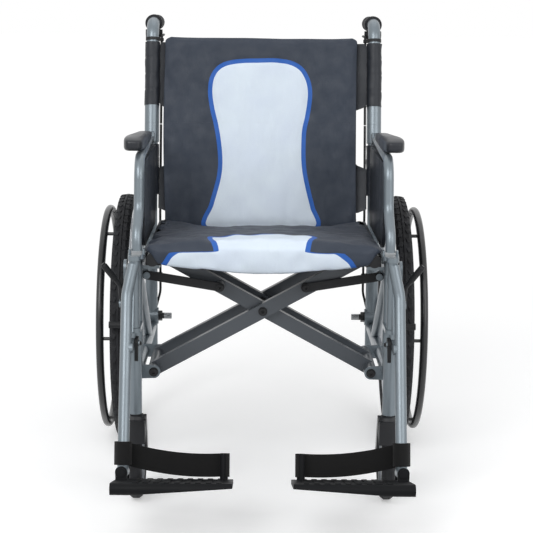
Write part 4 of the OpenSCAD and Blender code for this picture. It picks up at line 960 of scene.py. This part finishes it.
    def half(self, whole: bpy.types.Object, name: str, above: bool) -> bpy.types.Object:
        """Cuts one half of the pad off at the plane of the fold.

        Args:
            whole: The whole pad.
            name: The half's name.
            above: True for the upper half.

        Returns:
            The half, closed at the cut.
        """
        only(whole)
        bpy.ops.object.duplicate()
        piece = settle(bpy.context.object, name)
        plane = BACK.to_3x3() @ Vector((0, 0, 1))
        at = BACK @ Vector((0, 0, self.half_gap if above else -self.half_gap))
        with editing():
            bpy.ops.mesh.bisect(plane_co=at, plane_no=plane, use_fill=True, clear_inner=above,
                                clear_outer=not above)
        smooth(piece, 60)
        return piece

    def sling(self, name: str, body: str, node: str, span: tuple[float, float],
              tab: tuple[float, float], sleeve: tuple[float, float]) -> None:
        """Sling cloth behind the pad, hemmed, with a sleeve round each cane.

        Args:
            name: The piece's name.
            body: The body that carries it.
            node: The CAD node that it stands for.
            span: Its lower and upper edge along the canes.
            tab: The ends of the tabs that run to the canes.
            sleeve: The lower and upper end of the sleeves.
        """
        parts = [self.sheet(*span, *tab)]
        for side in Side:
            parts.append(self.sleeve(side, *sleeve))
        piece = join(parts, name)
        put(piece, local_to_back(places(piece)))
        outward(piece)
        dress(piece, PALETTE.sling)
        smooth(piece, 50)
        self.hold(piece, body, node, "cloth_black")

    @staticmethod
    def area(piece: bpy.types.Object) -> float:
        """Half of a thin closed cloth's surface."""
        return sum(p.area for p in piece.data.polygons) / 2

    def sheet(self, low: float, high: float, wide_low: float, wide_high: float) -> bpy.types.Object:
        """The cloth between the canes, which sags to the rear.

        Args:
            low: Lower edge along the canes.
            high: Upper edge along the canes.
            wide_low: Where its tabs to the sleeves begin.
            wide_high: Where they end.

        Returns:
            The cloth.
        """
        half = self.tab_half
        piece = grid("sheet", (2 * half, high - low), (0, 0, (low + high) / 2), (60, 24), upright=True)
        co = places(piece)
        inner = half - self.sling_inset
        co[:, 1] = self.sling_sag * np.clip(1 - (co[:, 0] / inner) ** 2, 0, 1) + self.sling_behind
        near = np.minimum(co[:, 2] - low, high - co[:, 2])
        loose = np.clip(near / self.sling_hem, 0, 1)
        loose *= np.clip((inner - np.abs(co[:, 0])) / self.sling_side, 0, 1)
        co[:, 1] += self.sling_folds.over(co) * loose + self.sling_lift
        tab = np.clip(np.minimum(co[:, 2] - wide_low, wide_high - co[:, 2]) / self.tab_fade + 1, 0, 1)
        co[:, 0] *= (self.sling_half + (half - self.sling_half) * tab) / half
        put(piece, co)
        add_modifier(piece, "SOLIDIFY", thickness=self.sling_thick, offset=0.0)
        return piece

    def sleeve(self, side: Side, low: float, high: float) -> bpy.types.Object:
        """A wrapped sleeve with stitched rings and small creases.

        Args:
            side: Whose cane it is on.
            low: Lower end along the cane.
            high: Upper end along the cane.

        Returns:
            The sleeve.
        """
        only()
        bpy.ops.mesh.primitive_cylinder_add(vertices=48, radius=self.sleeve_r, depth=high - low,
                                            location=(side.value * CANE_X, 0, (low + high) / 2),
                                            end_fill_type="NOTHING")
        piece = settle(bpy.context.object, "sleeve")
        with editing():
            for k in range(self.sleeve_rings):
                bpy.ops.mesh.select_all(action="SELECT")
                at = low + (high - low) * k / self.sleeve_rings
                bpy.ops.mesh.bisect(plane_co=(0, 0, at), plane_no=(0, 0, 1))
        co = places(piece)
        out = co[:, :2] - np.array([side.value * CANE_X, 0])
        unit = out / np.linalg.norm(out, axis=1, keepdims=True)
        rise = self.sleeve_folds.over(co)
        for line in self.stitch_lines:
            away = co[:, 2] - low - (high - low) * line
            rise -= self.stitch_deep * np.exp(-(away / self.stitch_wide) ** 2)
        ends = np.minimum(co[:, 2] - low, high - co[:, 2])
        rise += self.end_rise * np.exp(-ends / self.end_fade)
        co[:, :2] += unit * rise[:, None]
        put(piece, co)
        add_modifier(piece, "SOLIDIFY", thickness=self.sleeve_thick, offset=-1.0)
        return piece


@dataclass
class SeatUpholstery:
    """The seat: a stuffed cushion with its sewn front panel, on a sling cloth over the rails."""

    half_width: float = 0.2080
    slab_thick: float = 0.024
    corner: float = 0.026
    swell: float = 0.008
    seam_allowance: float = 0.004
    front_reach: float = 0.2135
    rear_reach: float = 0.2030
    fall: float = 0.037
    side_fall: float = 0.010
    front: float = AXLE_Y - 0.4545
    rear: float = AXLE_Y - 0.0605
    side_top: float = 0.476
    crown: float = 0.0205
    sling_z: float = 0.46272
    drop: float = 0.035
    inner: float = 0.1918
    over_sling: float = 0.0032
    lip_middle: float = 0.019
    lip_side: float = 0.008
    lip_depth: float = 0.012
    lip_side_x: float = 0.178
    lip_end_x: float = 0.205
    lip_fade: float = 0.016
    gather_x: float = 0.188
    gather_fade: float = 0.018
    gather_drop: float = 0.003
    chart_turn: float = 0.35
    chart_face: float = 0.9
    chart_far: float = 0.03
    faces_down: float = -0.85
    hem_fade: float = 0.05
    face_share: float = 0.5
    front_slack: float = 0.004
    rear_slack: float = 0.002
    clearance: float = 0.0030
    cleared_from: float = 0.013
    sling_front: float = AXLE_Y - 0.4416
    sling_rear: float = AXLE_Y - 0.0604
    sling_width: float = 0.4176
    sling_thick: float = 0.0023
    sling_rise: float = 0.0012
    sling_edge: float = 0.0005
    stitched_in: float = 0.0022
    bound_out: float = 0.0011
    broad: Folds = Folds((10, 7, 4), 0.0036, 1.0)
    fine: Folds = Folds((30, 22, 10), 0.0030, 7.0)
    side_folds: Folds = Folds((10, 38, 20), 0.0085, 9.0)
    hem_folds: Folds = Folds((42, 6, 30), 0.0062, 14.0)
    outline: list[tuple[float, float]] = field(default_factory=lambda: [
        (-0.096, 0.054), (-0.074, 0.066), (-0.045, 0.079), (-0.002, 0.086), (0.040, 0.086), (0.070, 0.078),
        (0.092, 0.060), (0.087, 0.034), (0.080, 0.010), (0.078, -0.003), (0.086, -0.010), (0.104, -0.012),
        (0.126, -0.012), (0.142, -0.019), (0.158, -0.032), (0.168, -0.060), (0.100, -0.085), (0.0, -0.090),
        (-0.100, -0.085), (-0.186, -0.060), (-0.172, -0.026), (-0.158, -0.013), (-0.136, -0.006),
        (-0.118, -0.005), (-0.100, -0.005), (-0.086, -0.002), (-0.085, 0.006), (-0.092, 0.024)])

    def build(self) -> None:
        """Makes the cushion, and the sling cloth under it."""
        cushion = self.cushion()
        self.hold(cushion, "seat_cushion", "cloth_slate")
        cloth = self.sling()
        BackUpholstery.area(cloth)
        self.hold(cloth, "seat_sling", "cloth_black")

    def hold(self, piece: bpy.types.Object, node: str, slot: str) -> None:
        """Rides a piece on the seat with a mesh of its own, and hides the CAD node that it stands for."""
        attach(piece, "seat")
        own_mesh(piece)
        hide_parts(node)
        log.info("%s rides on seat", piece.name)

    def hang(self, x: np.ndarray) -> np.ndarray:
        """How far the cloth hangs below the rails at each X."""
        return self.drop * np.clip(1 - (x / self.inner) ** 2, 0, 1)

    def cushion(self) -> bpy.types.Object:
        """The stuffed cushion, laid on the sagging cloth, with its panel and folds."""
        width, length = 2 * self.half_width, self.rear - self.front
        size = (width - self.seam_allowance, self.slab_thick, length - self.seam_allowance)
        piece = slab("seat_pad", size, (0, 0, 0), self.corner, PAD_MESH)
        inflate(piece, PAD_PRESSURE, self.swell)
        add_modifier(piece, "SUBSURF", levels=1, render_levels=1)
        flat = places(piece)
        nrm = normals(piece)
        v = np.clip(flat[:, 2] / np.abs(flat[:, 2]).max(), -1, 1)
        u = flat[:, 0] / np.abs(flat[:, 0]).max()
        x = u * (self.front_reach + (self.rear_reach - self.front_reach) * (1 + v) / 2)
        share = (flat[:, 1] - flat[:, 1].min()) / np.ptp(flat[:, 1])
        back = (1 + v) / 2
        top = self.side_top + (self.crown * (1 - v ** 4 / 2) - self.fall * back) * (1 - u * u)
        top -= self.side_fall * back * u * u
        from_front = (1 + v) / 2 * length
        lip = self.lip_middle + self.lip_side * np.clip(np.abs(x) / self.lip_side_x, 0, 1) ** 4
        lip *= (np.clip((self.lip_end_x - np.abs(x)) / self.lip_fade, 0, 1)
                * np.exp(-(from_front / self.lip_depth) ** 4))
        low = self.sling_z + self.over_sling - self.hang(x) - lip
        near_side = np.clip((np.abs(x) - self.gather_x) / self.gather_fade, 0, 1)
        co = np.empty_like(flat)
        co[:, 0] = x
        co[:, 1] = self.front + from_front
        co[:, 2] = low + (top - low) * share - self.gather_drop * near_side ** 2
        up = np.clip(nrm[:, 1], -1, 1)
        # chart runs to the rear along the top, and below 0 down the front face
        chart = np.where(up > self.chart_turn, from_front, -(top - co[:, 2]) * self.chart_face)
        chart = np.where(from_front > self.chart_far, from_front, chart)
        seam = seam_distance(np.column_stack([x, chart]), closed_spline(self.outline))
        seam = np.where(up > self.faces_down, seam, np.maximum(seam, OFF_PANEL))
        lift = self.broad.over(co) + self.fine.over(co) + sewn_line(seam, self.stitched_in, self.bound_out)
        gather = near_side * self.side_folds.over(co)
        hem = np.clip(1 - from_front / self.hem_fade, 0, 1) * self.hem_folds.over(co)
        co[:, 2] += np.clip(up, 0, 1) * (lift + gather)
        co[:, 1] -= np.clip(-nrm[:, 2], 0, 1) * (hem + lift) * self.face_share
        floor = self.sling_z + self.clearance - self.hang(x)
        co[:, 2] = np.where(from_front > self.cleared_from, np.maximum(co[:, 2], floor), co[:, 2])
        co[:, 1] = np.clip(co[:, 1], self.front - self.front_slack, self.rear + self.rear_slack)
        put(piece, co)
        set_seam(piece, seam)
        outward(piece)
        dress(piece, PALETTE.nylon)
        smooth(piece, 60)
        piece.name = "seat_pad_stuffed"
        return piece

    def sling(self) -> bpy.types.Object:
        """The cloth over the rails, sagging between them, with rounded edges."""
        front, rear = self.sling_front, self.sling_rear
        size = (self.sling_width, rear - front)
        piece = grid("seat_sling_cloth", size, (0, (front + rear) / 2, 0), (72, 30))
        co = places(piece)
        co[:, 2] = self.sling_z + self.sling_rise - self.hang(co[:, 0])
        put(piece, co)
        add_modifier(piece, "SOLIDIFY", thickness=self.sling_thick, offset=0.0)
        add_modifier(piece, "BEVEL", width=self.sling_edge, segments=2, limit_method="ANGLE")
        dress(piece, PALETTE.sling)
        smooth(piece, 50)
        return piece


@dataclass
class HeelStraps:
    """Webbing behind the heels, round the leg rest's tube and the foot plate's post."""

    tube_x: float = 0.240
    post_x: float = 0.066
    tube_y: float = 0.009
    post_y: float = 0.002
    tube_r: float = 0.0140
    post_r: float = 0.0086
    tube_rise: float = 0.031
    middle_rise: float = 0.0045
    post_rise: float = 0.012
    sag: float = 0.014
    width: float = 0.040
    thick: float = 0.0024
    tilt: float = math.radians(15)
    hinge_fore: float = 0.610
    hinge_z: float = 0.111
    anchor_z: float = 0.14
    kept_folded: float = 0.45

    def path(self) -> list[Point]:
        """The strap's middle line about the foot plate's hinge."""
        t = np.array([0, self.tube_y])
        p = np.array([self.post_x - self.tube_x, self.post_y])
        a, b = t + [0, self.tube_r], p + [0, self.post_r]
        out = self.turn(t, self.tube_r, -215, 305, 20, self.tube_rise)
        for i in range(1, 20):
            k = i / 20
            xy = a + (b - a) * k + np.array([0, self.sag * 4 * k * (1 - k)])
            rise = self.tube_rise * (1 - k) ** 2 + 2 * self.middle_rise * k * (1 - k) + self.post_rise * k * k
            out.append((*xy, rise))
        return out + self.turn(p, self.post_r, 90, 160, 12, self.post_rise)

    @staticmethod
    def turn(at: np.ndarray, r: float, first: float, sweep: float, steps: int, rise: float) -> list[Point]:
        """The strap's way round a tube.

        Args:
            at: The tube's middle.
            r: Radius of the strap's middle line.
            first: Where it begins, in degrees.
            sweep: How far it goes round, in degrees.
            steps: Pieces between its points.
            rise: Its height on the tube.

        Returns:
            Its points, both ends among them.
        """
        angles = [math.radians(first + sweep * i / steps) for i in range(steps + 1)]
        return [(*(at + r * np.array([math.cos(k), math.sin(k)])), rise) for k in angles]

    def build(self) -> None:
        """Makes one strap for each leg rest."""
        for side in Side:
            piece = strip("heel_strap_webbing_" + side.label, self.path(), Vector((0, 0, self.width)),
                          self.thick)
            turn = Matrix.Rotation(-self.tilt, 4, "X")
            turn = Matrix.Translation((self.tube_x, AXLE_Y - self.hinge_fore, self.hinge_z)) @ turn
            if side is Side.RIGHT:
                turn = Matrix.Scale(-1, 4, (1, 0, 0)) @ turn
            piece.data.transform(turn)
            outward(piece)
            dress(piece, PALETTE.strap)
            smooth(piece, 45)
            BackUpholstery.area(piece) / self.width
            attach(piece, "leg_rest_" + side.label)
            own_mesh(piece)
            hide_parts("heel_strap_" + side.label)
            log.info("%s rides on leg_rest_%s", piece.name, side.label)


@dataclass
class ArmPads:
    """Moulded soft pads, wide and full in front, low and narrow behind."""

    middle: float = 0.233
    low: float = 0.636
    front: float = AXLE_Y - 0.400
    rear: float = AXLE_Y - 0.106
    width: tuple[float, float] = (0.042, 0.030)
    height: tuple[float, float] = (0.0282, 0.0165)
    power: float = 4.5
    cuts: int = 31
    front_out: float = 0.002

    def build(self) -> None:
        """Makes one pad for each arm."""
        for side in Side:
            piece = self.pad(side)
            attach(piece, "arm_" + side.label)
            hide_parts("arm_pad_" + side.label)
            log.info("%s rides on arm_%s", piece.name, side.label)

    def pad(self, side: Side) -> bpy.types.Object:
        """A block rounded all over, then tapered to the rear.

        Args:
            side: Whose arm it is on.

        Returns:
            The pad.
        """
        only()
        bpy.ops.mesh.primitive_cube_add(size=2)
        piece = settle(bpy.context.object, "arm_pad_soft_" + side.label)
        with editing():
            bpy.ops.mesh.subdivide(number_cuts=self.cuts)
        co = places(piece)
        co /= np.sum(np.abs(co) ** self.power, axis=1, keepdims=True) ** (1 / self.power)
        along = (co[:, 1] + 1) / 2
        ease = along * along * (3 - 2 * along)
        width = self.width[0] + (self.width[1] - self.width[0]) * ease
        height = self.height[0] + (self.height[1] - self.height[0]) * ease
        outside = side.value * (self.middle + self.front_out * (1 - ease))
        put(piece, np.column_stack([outside + co[:, 0] * width / 2,
                                    self.front + along * (self.rear - self.front),
                                    self.low + (co[:, 2] + 1) / 2 * height]))
        outward(piece)
        dress(piece, PALETTE.arm)
        smooth(piece, 60)
        return piece


@dataclass
class TyreTread:
    """Blocks moulded on the shoulders of each rear tyre."""

    wheel_x: float = 0.279
    radius: float = 0.254
    count: int = 66
    row_out: float = 0.0076
    sunk: float = 0.0045
    tilt: float = 0.16
    slant: float = 0.35
    size: Point = (0.0092, 0.0115, 0.0052)
    chamfer: float = 0.0011
    crown: float = 0.0008

    def build(self) -> None:
        """Makes one block, copies it round, and joins each tyre's blocks."""
        for side in Side:
            parts = []
            for row, offset in ((-1, 0.0), (1, 0.5)):
                block = self.block(side, row)
                for i in range(self.count):
                    angle = 2 * math.pi * (i + offset) / self.count
                    copy = block.copy()
                    copy.data = block.data.copy()
                    copy.data.transform(Matrix.Translation((0, AXLE_Y, self.radius))
                                        @ Matrix.Rotation(angle, 4, "X"))
                    bpy.context.collection.objects.link(copy)
                    parts.append(copy)
                bpy.data.objects.remove(block)
            piece = join(parts, "tyre_tread_" + side.label)
            dress(piece, PALETTE.tyre)
            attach(piece, "wheel_" + side.label)
            log.info("%s rides on wheel_%s", piece.name, side.label)

    def block(self, side: Side, row: int) -> bpy.types.Object:
        """One slanted block at the top of the wheel, about the axle."""
        only()
        at = (side.value * self.wheel_x + row * self.row_out, 0, self.radius - self.sunk)
        bpy.ops.mesh.primitive_cube_add(size=1, location=at, scale=self.size,
                                        rotation=(0, row * self.tilt, row * self.slant))
        piece = settle(bpy.context.object, "block")
        with editing(whole=False):
            mesh = bmesh.from_edit_mesh(piece.data)
            for face in mesh.faces:
                face.select_set(face.normal.z > 0.8)
            bmesh.update_edit_mesh(piece.data)
            bpy.ops.mesh.inset(thickness=self.chamfer)
            bpy.ops.transform.translate(value=(0, 0, self.crown))
        return piece


@dataclass
class Studio:
    """The photograph's viewpoint, a pale floor and soft light."""

    eye: Point = (-0.0194, AXLE_Y - 3.1118, 0.9204)
    pitch: float = 0.1782
    yaw: float = 0.0093
    roll: float = 0.0091
    focal_px: float = 1519.0
    frame_px: float = 533.0
    sensor_mm: float = 36.0
    dome: float = 0.62
    lamps: tuple[tuple[str, Point, float, float], ...] = (
        ("key", (-1.5, -2.9, 2.5), 2.2, 69), ("fill", (2.3, -2.6, 1.8), 2.6, 40),
        ("top", (0.2, 1.2, 3.4), 2.4, 8))
    floor_colour: Colour = (0.88, 0.885, 0.89)
    floor_glow: float = 0.28
    shaded_middle: Point = (0.1, 0.45, 0)
    shaded_reach: tuple[float, float] = (0.5, 1.7)

    def build(self) -> None:
        """Makes the camera, the world, the lamps and the floor."""
        self.camera()
        self.world()
        for name, place, size, power in self.lamps:
            self.lamp(name, place, size, power)
        self.floor()

    def camera(self) -> None:
        """A camera at the photograph's place, turn and angle of view."""
        data = bpy.data.cameras.new("photo_camera")
        data.sensor_width = self.sensor_mm
        data.sensor_fit = "HORIZONTAL"
        data.lens = self.focal_px / self.frame_px * self.sensor_mm
        made = bpy.data.objects.new("photo_camera", data)
        turn = (Matrix.Rotation(-self.yaw, 4, "Z") @ Matrix.Rotation(math.pi / 2 - self.pitch, 4, "X")
                @ Matrix.Rotation(self.roll, 4, "Z"))
        made.matrix_world = Matrix.Translation(self.eye) @ turn
        bpy.context.collection.objects.link(made)
        bpy.context.scene.camera = made

    def world(self) -> None:
        """An even soft dome, white where the camera or a reflection sees it."""
        made = bpy.data.worlds.new("studio_world")
        g = Graph(made, "ShaderNodeBackground", "ShaderNodeOutputWorld")
        strength = g.node("ShaderNodeMapRange", To_Min=self.dome, To_Max=1.0)
        g.link(g.seen(), strength.inputs["Value"])
        g.finish(Color=(1, 1, 1), Strength=strength.outputs["Result"])
        bpy.context.scene.world = made

    def lamp(self, name: str, place: Point, size: float, power: float) -> None:
        """A square soft lamp that looks at the chair's middle.

        Args:
            name: The lamp's name.
            place: Where it stands.
            size: Its side in metres.
            power: Watts.
        """
        data = bpy.data.lights.new(name, "AREA")
        data.shape = "SQUARE"
        data.size = size
        data.energy = power
        made = bpy.data.objects.new(name, data)
        way = Vector((0, 0, 0.4)) - Vector(place)
        made.matrix_world = Matrix.Translation(place) @ way.to_track_quat("-Z", "Y").to_matrix().to_4x4()
        bpy.context.collection.objects.link(made)

    def floor(self) -> None:
        """A pale floor that keeps the shadow and runs out to white."""
        only()
        bpy.ops.mesh.primitive_plane_add(size=60, location=(0, 0, 0))
        made = settle(bpy.context.object, "studio_floor")
        g = Graph(bpy.data.materials.new("studio_floor"))
        reach = g.node("ShaderNodeVectorMath", operation="LENGTH")
        aside = g.node("ShaderNodeVectorMath", operation="ADD")
        aside.inputs[1].default_value = tuple(-c for c in self.shaded_middle)
        g.link(g.place(), aside.inputs[0])
        g.link(aside.outputs[0], reach.inputs[0])
        near_m, far_m = self.shaded_reach
        far = g.node("ShaderNodeMapRange", interpolation_type="SMOOTHSTEP", From_Min=near_m, From_Max=far_m)
        g.link(reach.outputs["Value"], far.inputs["Value"])
        pale = g.tint(far.outputs["Result"], self.floor_colour, (0.0, 0.0, 0.0))
        glow = g.math("MULTIPLY", far.outputs["Result"], 1 - self.floor_glow)
        glow = g.math("ADD", glow, self.floor_glow)
        made.data.materials.append(g.finish(
            Base_Color=pale, Roughness=0.9, Specular_IOR_Level=0.1, Emission_Color=(1, 1, 1),
            Emission_Strength=g.math("MULTIPLY", g.seen(), glow)))


def main() -> None:
    """Builds the studio, dresses the nodes and makes the soft goods in order."""
    logging.basicConfig(level=logging.INFO, format="%(name)s: %(message)s")
    for part in (Studio(), BackUpholstery(), SeatUpholstery(), ArmPads(), HeelStraps(), TyreTread()):
        part.build()
    FrameWork().dress()
    bpy.context.scene.view_settings.view_transform = "Standard"


if __name__ == "__main__":
    main()
